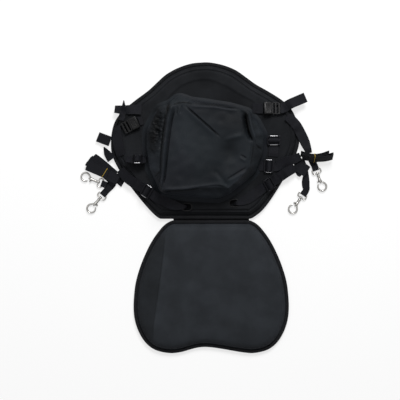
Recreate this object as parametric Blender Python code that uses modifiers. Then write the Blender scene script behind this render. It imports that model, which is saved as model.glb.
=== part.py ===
"""Kayak seat, unfolded and lying on its front faces, with its rear side and its storage bag up.

Metres, +Z up. The floor is Z = 0 and +Y runs from the seat pad to the top of the back pad.
The two pads are sewn together along a seam parallel to X, which is also the line on which they fold.
"""

from math import atan2, copysign, cos, pi, radians, sin

import bmesh
import bpy
import numpy as np
from mathutils import Matrix, Vector

# Clearances
GAP = 0.0003
LAY = 0.0009

# Seam between the pads, which is the fold line
SEAM_Y = -0.0285
SEAM_HALF_LENGTH = 0.095
SEAM_ROLL_RADIUS = 0.0015

# Back pad
BACK_HEIGHT = 0.395
BACK_WIDTH = 0.473
BACK_THICKNESS = 0.024
BACK_AXIS_X = 0.0069
BACK_TURN = radians(3.5)
BACK_HALF_SHAPE = (
    (-0.03, 0.0), (-0.03, 0.34), (0.0, 0.47), (0.05, 0.582), (0.15, 0.717), (0.28, 0.864), (0.38, 0.955),
    (0.455, 0.997), (0.52, 1.0), (0.595, 0.982), (0.665, 0.938), (0.725, 0.85), (0.785, 0.715),
    (0.84, 0.574), (0.892, 0.468), (0.938, 0.37), (0.975, 0.24), (0.997, 0.1), (1.0, 0.0),
)
RECESS_DEPTH = 0.002
RECESS_OUTLINE = (
    (-0.103, 0.263), (-0.0756, 0.298), (-0.0406, 0.3166), (-0.009, 0.3214), (0.016, 0.318), (0.048, 0.304),
    (0.086, 0.282), (0.1176, 0.263), (0.112, 0.241), (0.072, 0.2156), (-0.018, 0.208), (-0.093, 0.2256),
)
SLOT_LENGTH = 0.0235
SLOT_WIDTH = 0.0165
SLOT_DEPTH = 0.012
RIGHT_SLOT = (0.0676, 0.0124)
LEFT_SLOT = (-0.0511, 0.0031)

# Seat pad
SEAT_LENGTH = 0.335
SEAT_WIDTH = 0.390
SEAT_THICKNESS = 0.026
SEAT_AXIS_X = 0.0101
SEAT_HALF_SHAPE = (
    (0.0, 0.0), (-0.005, 0.3), (0.0, 0.46), (0.03, 0.58), (0.085, 0.672), (0.16, 0.762), (0.25, 0.842),
    (0.35, 0.912), (0.46, 0.968), (0.56, 0.992), (0.66, 1.0), (0.75, 0.985), (0.84, 0.935), (0.92, 0.85),
    (0.975, 0.73), (1.0, 0.56), (0.995, 0.4),
)
SEAT_NOTCH = (-0.016, 0.955)
SEAT_CROWN = 0.003

# Edge tape
TAPE_WIDTH = 0.008
TAPE_THICKNESS = 0.007
TAPE_WALL = 0.0012
TAPE_LOW = 0.003

# Stitched border of both pads
BORDER_STEP = 0.013
BORDER_GROOVE = 0.021
BORDER_WIDTH = 0.026

# Storage bag
BAG_DEPTH = 0.056
BAG_OUTLINE = (
    (-0.122, 0.2564), (-0.103, 0.2731), (-0.0726, 0.2844), (-0.0344, 0.2744), (0.0194, 0.2694),
    (0.078, 0.261), (0.103, 0.243), (0.1344, 0.2114), (0.1456, 0.158), (0.137, 0.1206), (0.1186, 0.093),
    (0.067, 0.0406), (0.0286, 0.0246), (-0.041, 0.0314), (-0.111, 0.0404), (-0.138, 0.074),
    (-0.1514, 0.117), (-0.156, 0.182), (-0.147, 0.2136),
)
BAG_PANEL = (
    (-0.093, 0.2594), (-0.084, 0.263), (-0.0706, 0.2644), (-0.0406, 0.2606), (0.0144, 0.2556),
    (0.0744, 0.2494), (0.097, 0.2436), (0.1056, 0.2156), (0.112, 0.173), (0.112, 0.1456), (0.107, 0.1206),
    (0.077, 0.0756), (0.0556, 0.052), (-0.028, 0.051), (-0.1106, 0.052), (-0.113, 0.0756),
    (-0.1094, 0.1206), (-0.104, 0.183), (-0.098, 0.2256),
)
BAG_BASE_INSET = 0.012
BAG_FOLDS = (
    ((-0.058, 0.2606), (0.0376, 0.1754), 0.0055, 0.010),
    ((-0.104, 0.218), (-0.116, 0.052), 0.0050, 0.009),
    ((0.0916, 0.2294), (0.1231, 0.1641), -0.0100, 0.009),
    ((0.0466, 0.0696), (0.1029, 0.1056), 0.0040, 0.010),
    ((-0.112, 0.046), (-0.0636, 0.0471), 0.0030, 0.008),
    ((0.078, 0.137), (0.098, 0.126), 0.0030, 0.007),
)
BAG_DENT = (0.0534, 0.128, -0.006, 0.028)

# Webbing. Its routes are drawn for a back pad of this width
DRAWN_BACK_WIDTH = 0.473
WEBBING_WIDTH = 0.025
WEBBING_THICKNESS = 0.0016
WEBBING_LAYER = 0.0024
HOOK_WEBBING_WIDTH = 0.0165

RIGHT_BUNDLE = (0.2681, 0.1289, 0.0160)
RIGHT_HANK = (0.2490, 0.1110, 0.0040)
LEFT_BUNDLE = (-0.2569, 0.0884, 0.0074)

# Tri-glide slides, seen along the strap
SLIDE_LENGTH = 0.024
SLIDE_THICKNESS = 0.003
SLIDE_RIM = 0.003
SLIDE_BAR = 0.004
SLIDE_SIDE_CLEARANCE = 0.001
SLIDE_LIFT = 0.003

# Side-release buckles
RIGHT_BUCKLE = (0.1600, 0.2481)
LEFT_BUCKLE = (-0.1905, 0.2070)
BUCKLE_WIDTH = 0.031
BUCKLE_THICKNESS = 0.0085
SOCKET_LENGTH = 0.020
SOCKET_WALL = 0.0018
PLUG_LENGTH = 0.020
PLUG_THICKNESS = 0.0042
BUCKLE_RIB = 0.0022

# Bolt snap hooks, measured from the eye's bar
EYE_WIRE_RADIUS = 0.0017
EYE_INNER_WIDTH = 0.0185
EYE_INNER_LENGTH = 0.0080
PIN_RADIUS = 0.0014
SWIVEL_LENGTH = 0.0045
SWIVEL_RADIUS = 0.0036
SHANK_START = 0.0148
SHANK_END = 0.0348
SHANK_RADIUS = 0.0038
SHANK_BORE_RADIUS = 0.0021
RING_RADIUS = 0.0106
RING_WIRE_RADIUS = 0.0020
RING_CENTRE = 0.0465
BOLT_RADIUS = 0.0017
BOLT_TRAVEL = 0.007
KNOB_RADIUS = 0.0027
KNOB_REACH = 0.0068
HOOK_AXIS_Z = 0.0042

# Where each hook's eye lies and where its ring points
SNAP_HOOKS = {
    "right_upper": ((0.2731, 0.0981), (0.2904, 0.0511), -1),
    "right_lower": ((0.2424, 0.0356), (0.2161, -0.0014), -1),
    "left_upper": ((-0.2630, 0.0615), (-0.3041, 0.0778), 1),
    "left_lower": ((-0.2614, 0.0349), (-0.2926, -0.0016), 1),
}

OUTLINE_POINTS = 48
BAG_POINTS = 38


def clear_scene():
    for obj in list(bpy.data.objects):
        bpy.data.objects.remove(obj, do_unlink=True)


def new_collection(name):
    collection = bpy.data.collections.new(name)
    bpy.context.scene.collection.children.link(collection)
    return collection


def finish_of(name, colour, roughness, metallic=0.0):
    material = bpy.data.materials.new(name)
    material.use_nodes = True
    shader = material.node_tree.nodes["Principled BSDF"]
    shader.inputs["Base Color"].default_value = (*colour, 1.0)
    shader.inputs["Roughness"].default_value = roughness
    shader.inputs["Metallic"].default_value = metallic
    return material


clear_scene()
SEAT_PARTS = new_collection("kayak_seat")
CUTTERS = new_collection("cutters")
PAD_CLOTH = finish_of("pad_cloth", (0.022, 0.024, 0.026), 0.85)
TAPE_CLOTH = finish_of("tape_cloth", (0.010, 0.011, 0.012), 0.9)
BAG_CLOTH = finish_of("bag_cloth", (0.020, 0.023, 0.026), 0.55)
WEBBING = finish_of("webbing", (0.010, 0.010, 0.012), 0.8)
BUCKLE_PLASTIC = finish_of("buckle_plastic", (0.012, 0.012, 0.013), 0.4)
SLIDE_METAL = finish_of("slide_metal", (0.03, 0.03, 0.032), 0.35, 0.6)
HOOK_METAL = finish_of("hook_metal", (0.62, 0.62, 0.60), 0.22, 1.0)
TIE_RUBBER = finish_of("tie_rubber", (0.45, 0.33, 0.05), 0.6)


def add_object(name, data, material, matrix=None):
    obj = bpy.data.objects.new(name, data)
    SEAT_PARTS.objects.link(obj)
    if not data.materials:
        data.materials.append(material)
    if matrix is not None:
        obj.matrix_world = matrix
    return obj


def add_cutter(name, data, matrix=None):
    obj = bpy.data.objects.new(name, data)
    CUTTERS.objects.link(obj)
    obj.hide_render = True
    obj.display_type = "WIRE"
    if matrix is not None:
        obj.matrix_world = matrix
    return obj


def mesh_of(name, points, faces, smooth=True):
    """A mesh with its faces turned outwards."""
    mesh = bpy.data.meshes.new(name)
    mesh.from_pydata([tuple(map(float, point)) for point in points], [], faces)
    shape = bmesh.new()
    shape.from_mesh(mesh)
    bmesh.ops.recalc_face_normals(shape, faces=shape.faces)
    shape.to_mesh(mesh)
    shape.free()
    if smooth:
        mesh.shade_smooth()
        mesh.set_sharp_from_angle(angle=radians(40))
    return mesh


def loft(name, rings, closed=False):
    """Skins a row of rings with the same number of points. It is capped, or joined end to end if closed."""
    count = len(rings[0])
    points = np.concatenate(rings)
    bands = len(rings) if closed else len(rings) - 1
    faces = []
    for band in range(bands):
        low = band * count
        high = (band + 1) % len(rings) * count
        for i in range(count):
            j = (i + 1) % count
            faces.append((low + i, low + j, high + j, high + i))
    if not closed:
        faces.append(tuple(range(count))[::-1])
        faces.append(tuple(range(len(points) - count, len(points))))
    return mesh_of(name, points, faces)


def catmull_rom(points, steps, cyclic=False):
    """A smooth curve through the points, with a fixed number of steps between two of them."""
    knots = np.asarray(points, float)
    if cyclic:
        knots = np.concatenate([knots[-1:], knots, knots[:2]])
    else:
        knots = np.concatenate([[2 * knots[0] - knots[1]], knots, [2 * knots[-1] - knots[-2]]])
    share = (np.arange(steps) / steps)[:, None]
    curve = []
    for a, b, c, d in zip(knots, knots[1:], knots[2:], knots[3:]):
        curve.append(
            0.5 * (2 * b + (c - a) * share + (2 * a - 5 * b + 4 * c - d) * share**2
                   + (3 * b - a - 3 * c + d) * share**3)
        )
    if not cyclic:
        curve.append(knots[-2:-1])
    return np.concatenate(curve)


def even_loop(points, count):
    """The same closed loop with its points evenly spaced."""
    closed = np.concatenate([points, points[:1]])
    length = np.concatenate([[0], np.cumsum(np.linalg.norm(np.diff(closed, axis=0), axis=1))])
    at = np.arange(count) / count * length[-1]
    return np.stack([np.interp(at, length, closed[:, axis]) for axis in range(2)], axis=1)


def inset(loop, distance):
    """A closed loop that runs anticlockwise, moved inwards along its normals."""
    along = np.roll(loop, -1, axis=0) - np.roll(loop, 1, axis=0)
    along /= np.linalg.norm(along, axis=1)[:, None]
    return loop + distance * np.stack([-along[:, 1], along[:, 0]], axis=1)


def raised(loop, height):
    return np.column_stack([loop, np.broadcast_to(height, len(loop))])


def back_outline():
    """The back pad's edge: one half mirrored, turned a little on the seam and cut off straight there."""
    half = np.array(BACK_HALF_SHAPE)
    right = np.column_stack([half[:, 1] * BACK_WIDTH / 2, half[:, 0] * BACK_HEIGHT])
    left = right[1:-1][::-1] * (-1, 1)
    loop = catmull_rom(np.concatenate([right, left]), 12, cyclic=True)
    turn = np.array([[cos(BACK_TURN), sin(BACK_TURN)], [-sin(BACK_TURN), cos(BACK_TURN)]])
    loop = loop @ turn + (BACK_AXIS_X, SEAM_Y)
    loop[:, 1] = np.maximum(loop[:, 1], SEAM_Y + SEAM_ROLL_RADIUS + GAP)
    return even_loop(loop, OUTLINE_POINTS)


def seat_outline():
    """The seat pad's edge: one half mirrored, with a shallow notch in its front edge."""
    half = np.array(SEAT_HALF_SHAPE)
    right = np.column_stack([half[:, 1] * SEAT_WIDTH / 2, -half[:, 0] * SEAT_LENGTH])
    left = right[1:][::-1] * (-1, 1)
    notch = np.array([[SEAT_NOTCH[0], -SEAT_NOTCH[1] * SEAT_LENGTH]])
    loop = catmull_rom(np.concatenate([right, notch, left])[::-1], 12, cyclic=True)
    loop = loop + (SEAT_AXIS_X, SEAM_Y)
    loop[:, 1] = np.minimum(loop[:, 1], SEAM_Y - SEAM_ROLL_RADIUS - GAP)
    return even_loop(loop, OUTLINE_POINTS)


TAPE_TOP = TAPE_LOW + TAPE_THICKNESS
RIM_EDGE = TAPE_WALL + GAP
RIM_LOW = TAPE_LOW + RIM_EDGE
RIM_TOP = TAPE_TOP - RIM_EDGE
BACK_OUTLINE = back_outline()
SEAT_OUTLINE = seat_outline()


def pad_profile(thickness):
    """Inset and height along the upper side: bound rim, stitched step, ridge, groove and face."""
    shoulder = RIM_TOP + 0.55 * (thickness - RIM_TOP)
    return (
        (RIM_EDGE, RIM_TOP),
        (TAPE_WIDTH + GAP, RIM_TOP),
        (BORDER_STEP - 0.001, RIM_TOP + 0.0012),
        (BORDER_STEP + 0.003, shoulder),
        (BORDER_GROOVE - 0.003, thickness - 0.0035),
        (BORDER_GROOVE, thickness - 0.0045),
        (BORDER_WIDTH, thickness),
    )


def pad_mesh(name, outline, thickness, crown):
    """A foam board in cloth: flat front face below, a thin bound rim, a stitched border and the upper face."""
    rings = [raised(inset(outline, BORDER_WIDTH), 0.0)]
    rings.append(raised(inset(outline, BORDER_STEP + 0.004), 0.0))
    rings.append(raised(inset(outline, TAPE_WIDTH + GAP), RIM_LOW))
    rings.append(raised(inset(outline, RIM_EDGE), RIM_LOW))
    for distance, height in pad_profile(thickness):
        rings.append(raised(inset(outline, distance), height))
    if crown:
        face = inset(outline, BORDER_WIDTH)
        middle = face.mean(axis=0)
        for share, rise in ((0.8, 0.6), (0.5, 1.0)):
            rings.append(raised(middle + share * (face - middle), thickness + rise * crown))
    return loft(name, rings)


def tape_mesh(name, outline):
    """The edge tape: a U of folded tape carried round the outline."""
    section = (
        (TAPE_WIDTH, TAPE_LOW), (0.0, TAPE_LOW), (0.0, TAPE_TOP), (TAPE_WIDTH, TAPE_TOP),
        (TAPE_WIDTH, TAPE_TOP - TAPE_WALL), (TAPE_WALL, TAPE_TOP - TAPE_WALL),
        (TAPE_WALL, TAPE_LOW + TAPE_WALL), (TAPE_WIDTH, TAPE_LOW + TAPE_WALL),
    )
    return loft(name, [raised(inset(outline, distance), height) for distance, height in section], closed=True)


def inset_of(places):
    """How far inside the back pad's edge each place lies, negative outside."""
    places = np.atleast_2d(places)
    start = BACK_OUTLINE
    run = np.roll(BACK_OUTLINE, -1, axis=0) - start
    offset = places[:, None, :] - start[None]
    share = np.clip((offset * run).sum(-1) / (run**2).sum(-1), 0, 1)
    distance = np.linalg.norm(offset - share[..., None] * run, axis=-1).min(axis=1)
    end = start + run
    crosses = (start[None, :, 1] > places[:, None, 1]) != (end[None, :, 1] > places[:, None, 1])
    run_y = np.where(run[:, 1] == 0, 1e-12, run[:, 1])
    at_x = start[:, 0] + (places[:, None, 1] - start[:, 1]) * run[:, 0] / run_y
    inside = (crosses & (places[:, None, 0] < at_x)).sum(axis=1) % 2 == 1
    return np.where(inside, distance, -distance)


def rear_height(places):
    """Height of the back pad's rear side, and outside it the slope on which webbing comes down to the floor."""
    profile = pad_profile(BACK_THICKNESS)
    distances = [-0.030, -0.005, 0.0, TAPE_WIDTH + 0.001, *(distance for distance, _ in profile[2:])]
    heights = [0.0, TAPE_TOP, TAPE_TOP, TAPE_TOP, *(height for _, height in profile[2:])]
    return np.interp(inset_of(places), distances, heights)


def resting_frame(x, y, heading, half_length, half_width, lift):
    """A frame on the pad's rear side, its X along the heading, tilted like the surface and clear of it."""
    ahead = np.array([cos(heading), sin(heading)])
    aside = np.array([-sin(heading), cos(heading)])
    shares = (-1.0, -0.5, 0.0, 0.5, 1.0)
    grid = [(u * half_length, v * half_width) for u in shares for v in shares]
    heights = rear_height([(x, y) + u * ahead + v * aside for u, v in grid])
    fit = np.linalg.lstsq(np.array([(u, v, 1.0) for u, v in grid]), heights, rcond=None)[0]
    spare = max(height - fit @ (u, v, 1.0) for (u, v), height in zip(grid, heights))
    along = Vector((*ahead, fit[0])).normalized()
    across = Vector((*aside, fit[1])).normalized()
    normal = along.cross(across).normalized()
    across = normal.cross(along)
    frame = Matrix((along, across, normal)).transposed().to_4x4()
    frame.translation = Vector((x, y, fit[2] + spare + lift))
    return frame


def outboard(x):
    """A place beside or beyond the back pad's edge, moved along with that edge when the pad's width changes."""
    share = min(max((abs(x) - 0.19) / 0.03, 0.0), 1.0)
    return x + copysign(share * (BACK_WIDTH - DRAWN_BACK_WIDTH) / 2, x)


class Webbing:
    """A flat strap, held as a row of stations, each a centre and half its width as a vector."""

    def __init__(self, width=None):
        self.width = WEBBING_WIDTH if width is None else width
        self.centres = []
        self.halves = []

    def add(self, centre, half):
        self.centres.append(Vector(centre))
        self.halves.append(Vector(half))

    def laid(self, route, steps=2, bank=0.0):
        """Lays it over the pad's rear side and the floor. A route point is x, y, lift and perhaps a width share."""
        points = [(outboard(point[0]), *point[1:], 1.0)[:4] for point in route]
        curve = catmull_rom(points, steps)
        run = np.gradient(curve[:, :2], axis=0)
        run /= np.linalg.norm(run, axis=1)[:, None]
        aside = np.column_stack([-run[:, 1], run[:, 0]])
        for place, side, ahead in zip(curve, aside, run):
            half = side * cos(bank) * place[3] * self.width / 2
            shares = np.array([-1.0, -0.5, 0.0, 0.5, 1.0])
            reaches = (-0.004, 0.0, 0.004)
            under = [place[:2] + share * half + reach * ahead for reach in reaches for share in shares]
            heights = rear_height(under).reshape(3, len(shares))
            tilt = (heights[1, -1] - heights[1, 0]) / 2
            floor = (heights - shares * tilt).max()
            rise = sin(bank) * place[3] * self.width / 2
            height = floor + abs(rise) + WEBBING_THICKNESS / 2 + LAY + place[2]
            self.add((place[0], place[1], height), (*half, tilt + rise))
        return self

    def threaded(self, frame):
        """Weaves it under a slide's rims and over its bar."""
        low = WEBBING_THICKNESS / 2 + GAP - SLIDE_LIFT
        high = SLIDE_THICKNESS + 3 * GAP + WEBBING_THICKNESS / 2
        reach = SLIDE_LENGTH / 2
        inner = reach - SLIDE_RIM
        stations = [(-reach - 0.003, low), (-inner + 0.0004, low), (-SLIDE_BAR / 2 - 0.0008, high)]
        stations += [(-u, w) for u, w in stations[::-1]]
        side = frame.to_3x3() @ Vector((0.0, self.width / 2, 0.0))
        for u, w in stations:
            self.add(frame @ Vector((u, 0.0, w)), side)
        return self

    def build(self, name):
        points = []
        for centre, half in zip(self.centres, self.halves):
            points += [centre - half, centre + half]
        faces = [(2 * i, 2 * i + 1, 2 * i + 3, 2 * i + 2) for i in range(len(self.centres) - 1)]
        mesh = bpy.data.meshes.new(name)
        mesh.from_pydata(points, [], faces)
        obj = add_object(name, mesh, WEBBING)
        solid = obj.modifiers.new("thickness", "SOLIDIFY")
        solid.thickness = WEBBING_THICKNESS
        solid.offset = 0.0
        return obj


def rounded_rectangle(length, width, radius, corner_steps=3):
    """Corner arcs joined by straight runs, anticlockwise, centred on the origin."""
    points = []
    for turn, (sx, sy) in enumerate(((1, 1), (-1, 1), (-1, -1), (1, -1))):
        corner_x = sx * (length / 2 - radius)
        corner_y = sy * (width / 2 - radius)
        for step in range(corner_steps + 1):
            angle = pi / 2 * (turn + step / corner_steps)
            points.append((corner_x + radius * cos(angle), corner_y + radius * sin(angle)))
    return points


def plate_curve(name, loops, thickness):
    """A flat plate: the first loop is its outline and the others are holes."""
    curve = bpy.data.curves.new(name, "CURVE")
    curve.dimensions = "2D"
    curve.fill_mode = "BOTH"
    curve.extrude = thickness / 2
    for loop in loops:
        spline = curve.splines.new("POLY")
        spline.points.add(len(loop) - 1)
        for point, (x, y) in zip(spline.points, loop):
            point.co = (x, y, 0.0, 1.0)
        spline.use_cyclic_u = True
    return curve


def shifted(loop, dx, dy=0.0):
    return [(x + dx, y + dy) for x, y in loop]


def mesh_from(obj):
    """An object as a welded mesh in world places. The object is removed."""
    bpy.context.view_layer.update()
    graph = bpy.context.evaluated_depsgraph_get()
    mesh = bpy.data.meshes.new_from_object(obj.evaluated_get(graph))
    mesh.transform(obj.matrix_world)
    shape = bmesh.new()
    shape.from_mesh(mesh)
    bmesh.ops.remove_doubles(shape, verts=shape.verts, dist=1e-6)
    bmesh.ops.recalc_face_normals(shape, faces=shape.faces)
    shape.to_mesh(mesh)
    shape.free()
    bpy.data.objects.remove(obj, do_unlink=True)
    return mesh


def combine(obj, other, operation):
    modifier = obj.modifiers.new(operation.lower(), "BOOLEAN")
    modifier.operation = operation
    modifier.object = other


def build_pads():
    back = add_object("back_pad", pad_mesh("back_pad", BACK_OUTLINE, BACK_THICKNESS, 0.0), PAD_CLOTH)
    recess = even_loop(catmull_rom(RECESS_OUTLINE[::-1], 8, cyclic=True), 32)
    base = BACK_THICKNESS - RECESS_DEPTH
    top = BACK_THICKNESS + 0.01
    recess_mesh = loft("recess_cut", [raised(recess, base), raised(recess, top)])
    combine(back, add_cutter("recess_cut", recess_mesh), "DIFFERENCE")
    for side, (x, y) in (("right", RIGHT_SLOT), ("left", LEFT_SLOT)):
        oval = np.array(rounded_rectangle(SLOT_LENGTH, SLOT_WIDTH, SLOT_WIDTH * 0.49)) + (x, y)
        low = raised(oval, BACK_THICKNESS - SLOT_DEPTH)
        name = side + "_slot_cut"
        combine(back, add_cutter(name, loft(name, [low, raised(oval, top)])), "DIFFERENCE")
    add_object("back_edge_tape", tape_mesh("back_edge_tape", BACK_OUTLINE), TAPE_CLOTH)
    add_object("seat_pad", pad_mesh("seat_pad", SEAT_OUTLINE, SEAT_THICKNESS, SEAT_CROWN), PAD_CLOTH)
    add_object("seat_edge_tape", tape_mesh("seat_edge_tape", SEAT_OUTLINE), TAPE_CLOTH)


def build_seam():
    """The sewn roll between the pads, on the line on which they fold."""
    bpy.ops.mesh.primitive_cylinder_add(
        vertices=10, radius=SEAM_ROLL_RADIUS, depth=2 * SEAM_HALF_LENGTH,
        location=(SEAT_AXIS_X, SEAM_Y, TAPE_LOW), rotation=(0.0, pi / 2, 0.0),
    )
    obj = bpy.context.object
    mesh = mesh_from(obj)
    mesh.transform(Matrix.Translation((-SEAT_AXIS_X, -SEAM_Y, -TAPE_LOW)))
    add_object("hinge_seam", mesh, TAPE_CLOTH, Matrix.Translation((SEAT_AXIS_X, SEAM_Y, TAPE_LOW)))


def fold_height(x, y):
    """What the bag's folds and its dent add to its height: each fold is a ridge along a line."""
    total = np.zeros(len(x))
    place = np.column_stack([x, y])
    for start, end, height, half_width in BAG_FOLDS:
        start = np.array(start)
        run = np.array(end) - start
        share = np.clip(((place - start) @ run) / (run @ run), 0, 1)
        distance = np.linalg.norm(place - start - share[:, None] * run, axis=1)
        total += height * np.exp(-((distance / half_width) ** 2))
    dent_x, dent_y, depth, radius = BAG_DENT
    return total + depth * np.exp(-(((x - dent_x) ** 2 + (y - dent_y) ** 2) / radius**2))


def build_bag():
    """The stuffed bag: a flat base, sides that bulge out to its outline, and a front panel with its folds."""
    steps = BAG_POINTS // len(BAG_OUTLINE)
    outer = catmull_rom(BAG_OUTLINE[::-1], steps, cyclic=True)
    panel = catmull_rom(BAG_PANEL[::-1], steps, cyclic=True)
    base_z = BACK_THICKNESS + 2 * GAP
    middle = panel.mean(axis=0)
    rings = [raised(inset(outer, BAG_BASE_INSET), base_z)]
    rings.append(raised(inset(outer, 0.3 * BAG_BASE_INSET), base_z + 0.08 * BAG_DEPTH))
    rings.append(raised(outer, base_z + 0.30 * BAG_DEPTH))
    for share, height in ((0.35, 0.62), (0.75, 0.86), (1.0, 0.93)):
        rings.append(raised(outer + share * (panel - outer), base_z + height * BAG_DEPTH))
    for share, height in ((0.9, 0.97), (0.75, 0.99), (0.58, 1.0), (0.4, 1.0), (0.2, 1.0), (0.03, 1.0)):
        rings.append(raised(middle + share * (panel - middle), base_z + height * BAG_DEPTH))
    for ring in rings[4:]:
        ring[:, 2] += fold_height(ring[:, 0], ring[:, 1])
    add_object("storage_bag", loft("storage_bag", rings), BAG_CLOTH)


def slide_curve():
    """A tri-glide: a rounded frame with one bar across its middle."""
    opening = WEBBING_WIDTH + 2 * SLIDE_SIDE_CLEARANCE
    frame = rounded_rectangle(SLIDE_LENGTH, opening + 2 * SLIDE_RIM, 0.002, 2)
    window = SLIDE_LENGTH / 2 - SLIDE_RIM - SLIDE_BAR / 2
    hole = rounded_rectangle(window, opening, 0.0008, 1)
    reach = SLIDE_BAR / 2 + window / 2
    return plate_curve("slide", [frame, shifted(hole, reach), shifted(hole, -reach)], SLIDE_THICKNESS)


def add_slide(name, x, y, heading_degrees, roll_degrees=0.0):
    """Lays a slide on the pad and returns its frame, with its underside at the frame's origin.

    A roll turns it about the strap's run, so that it leans on one side rim.
    """
    heading = radians(heading_degrees)
    roll = radians(roll_degrees)
    half = WEBBING_WIDTH / 2 + SLIDE_SIDE_CLEARANCE + SLIDE_RIM
    lift = SLIDE_LIFT + LAY + half * abs(sin(roll))
    frame = resting_frame(x, y, heading, SLIDE_LENGTH / 2 + 0.003, half * cos(roll), lift)
    frame = frame @ Matrix.Rotation(roll, 4, "X")
    curve = bpy.data.curves.get("slide") or slide_curve()
    add_object(name, curve, SLIDE_METAL, frame @ Matrix.Translation((0.0, 0.0, SLIDE_THICKNESS / 2)))
    return frame


def buckle_socket_mesh():
    """The socket half: a rounded box with a mouth at +X, side windows for the plug's arms and ribs on top."""
    bpy.ops.mesh.primitive_cube_add(size=1.0)
    body = bpy.context.object
    body.scale = (SOCKET_LENGTH, BUCKLE_WIDTH, BUCKLE_THICKNESS)
    bpy.ops.object.transform_apply(location=False, rotation=False, scale=True)
    bevel = body.modifiers.new("bevel", "BEVEL")
    bevel.width = 0.0015
    bevel.segments = 2
    mouth_depth = SOCKET_LENGTH - 3 * SOCKET_WALL
    cuts = [
        ((SOCKET_LENGTH / 2 - mouth_depth / 2 + 0.001, 0.0, 0.0),
         (mouth_depth + 0.002, BUCKLE_WIDTH - 4 * SOCKET_WALL, PLUG_THICKNESS + 2 * GAP)),
        ((0.001, 0.0, 0.0), (SOCKET_LENGTH * 0.42, BUCKLE_WIDTH + 0.002, PLUG_THICKNESS + 2 * GAP)),
    ]
    for offset in (-1.5, 0.5, 2.5):
        groove = (BUCKLE_RIB * 0.7, BUCKLE_WIDTH * 0.72, 0.0012)
        cuts.append(((offset * BUCKLE_RIB, 0.0, BUCKLE_THICKNESS / 2), groove))
    cutters = []
    for number, (centre, size) in enumerate(cuts):
        bpy.ops.mesh.primitive_cube_add(size=1.0, location=centre)
        cutter = bpy.context.object
        cutter.scale = size
        bpy.ops.object.transform_apply(location=False, rotation=False, scale=True)
        combine(body, cutter, "DIFFERENCE")
        cutters.append(cutter)
    mesh = mesh_from(body)
    for cutter in cutters:
        bpy.data.objects.remove(cutter, do_unlink=True)
    mesh.name = "buckle_socket"
    return mesh


def buckle_plug_curve():
    """The plug half: a ladder for the strap, a tongue in the socket's mouth and arms in its side windows."""
    half = BUCKLE_WIDTH / 2
    arm = half - 2 * SOCKET_WALL - GAP
    tip = -SOCKET_LENGTH + 4 * SOCKET_WALL
    outline = [
        (PLUG_LENGTH, half - 0.001), (0.001, half - 0.001), (0.0005, arm), (tip * 0.45, arm),
        (tip * 0.6, half - 0.0008), (tip, arm - 0.002), (tip * 0.95, arm - 0.0045), (-0.001, arm - 0.0035),
        (-0.001, 0.004), (tip * 0.8, 0.003),
    ]
    outline += [(x, -y) for x, y in outline[::-1]]
    hole = rounded_rectangle(0.0045, BUCKLE_WIDTH - 0.006, 0.0006, 1)
    return plate_curve("buckle_plug", [outline, shifted(hole, 0.0052), shifted(hole, 0.0138)], PLUG_THICKNESS)


def add_buckle(name, x, y, heading_degrees):
    """Lays a closed side-release buckle on the pad. The heading runs from its socket to its plug."""
    length = SOCKET_LENGTH + PLUG_LENGTH
    frame = resting_frame(x, y, radians(heading_degrees), length / 2, BUCKLE_WIDTH / 2, LAY)
    centre = frame @ Matrix.Translation((0.0, 0.0, BUCKLE_THICKNESS / 2))
    socket = bpy.data.meshes.get("buckle_socket") or buckle_socket_mesh()
    plug = bpy.data.curves.get("buckle_plug") or buckle_plug_curve()
    socket_place = centre @ Matrix.Translation((-SOCKET_LENGTH / 2, 0.0, 0.0))
    add_object(name + "_socket", socket, BUCKLE_PLASTIC, socket_place)
    add_object(name + "_plug", plug, BUCKLE_PLASTIC, centre @ Matrix.Translation((GAP, 0.0, 0.0)))
    return frame


def build_right_straps():
    x, y = RIGHT_BUCKLE
    add_buckle("right_buckle", x, y, 0.0)
    socket_face = x - SOCKET_LENGTH - 2 * GAP
    Webbing().laid(
        [(0.1125, 0.2490, 0.0), (0.1250, 0.2486, 0.001), (socket_face, y, 0.003)]
    ).build("right_bag_strap")
    plug_face = x + PLUG_LENGTH + 4 * GAP
    Webbing().laid(
        [(plug_face, y, 0.002), (plug_face + 0.005, y + 0.001, 0.002), (0.1970, 0.2548, 0.004),
         (0.2110, 0.2624, 0.010), (0.2461, 0.2776, 0.016)]
    ).build("right_strap_tail")
    Webbing().laid(
        [(0.1981, 0.2290, 0.0, 0.8), (0.2119, 0.2195, 0.0), (0.2244, 0.2055, 0.0003), (0.2369, 0.1831, 0.001),
         (0.2456, 0.1640, 0.003), (0.2510, 0.1500, 0.008, 0.8)]
    ).build("right_wing_strap")
    strap = Webbing()
    strap.threaded(add_slide("right_curl_slide", 0.1655, 0.1690, 270.0))
    strap.laid([(0.1650, 0.1500, 0.0), (0.1645, 0.1380, 0.001), (0.1640, 0.1290, 0.0)], steps=2)
    strap.build("right_curled_strap")
    strap = Webbing()
    strap.laid([(0.1290, 0.1060, 0.0), (0.1340, 0.1056, 0.0)], steps=1)
    strap.threaded(add_slide("right_upper_slide", 0.1531, 0.1049, -3.0))
    strap.laid(
        [(0.1760, 0.1064, 0.0), (0.1944, 0.1150, 0.0), (0.2200, 0.1240, 0.0, 0.9),
         (0.2341, 0.1302, 0.0010, 0.8)]
    )
    strap.build("right_middle_strap")
    strap = Webbing()
    strap.laid(
        [(0.0680, 0.0124, -0.007, 0.3), (0.0735, 0.0130, 0.0, 0.4), (0.0844, 0.0161, 0.0, 0.7),
         (0.1019, 0.0241, 0.0), (0.1260, 0.0410, 0.0)]
    )
    strap.threaded(add_slide("right_lower_slide", 0.1539, 0.0601, 33.0))
    strap.laid(
        [(0.1720, 0.0720, 0.001), (0.1830, 0.0795, 0.002), (0.1969, 0.0890, 0.0056),
         (0.2190, 0.1010, 0.0060, 0.9)]
    )
    strap.build("right_lower_strap")


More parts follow.
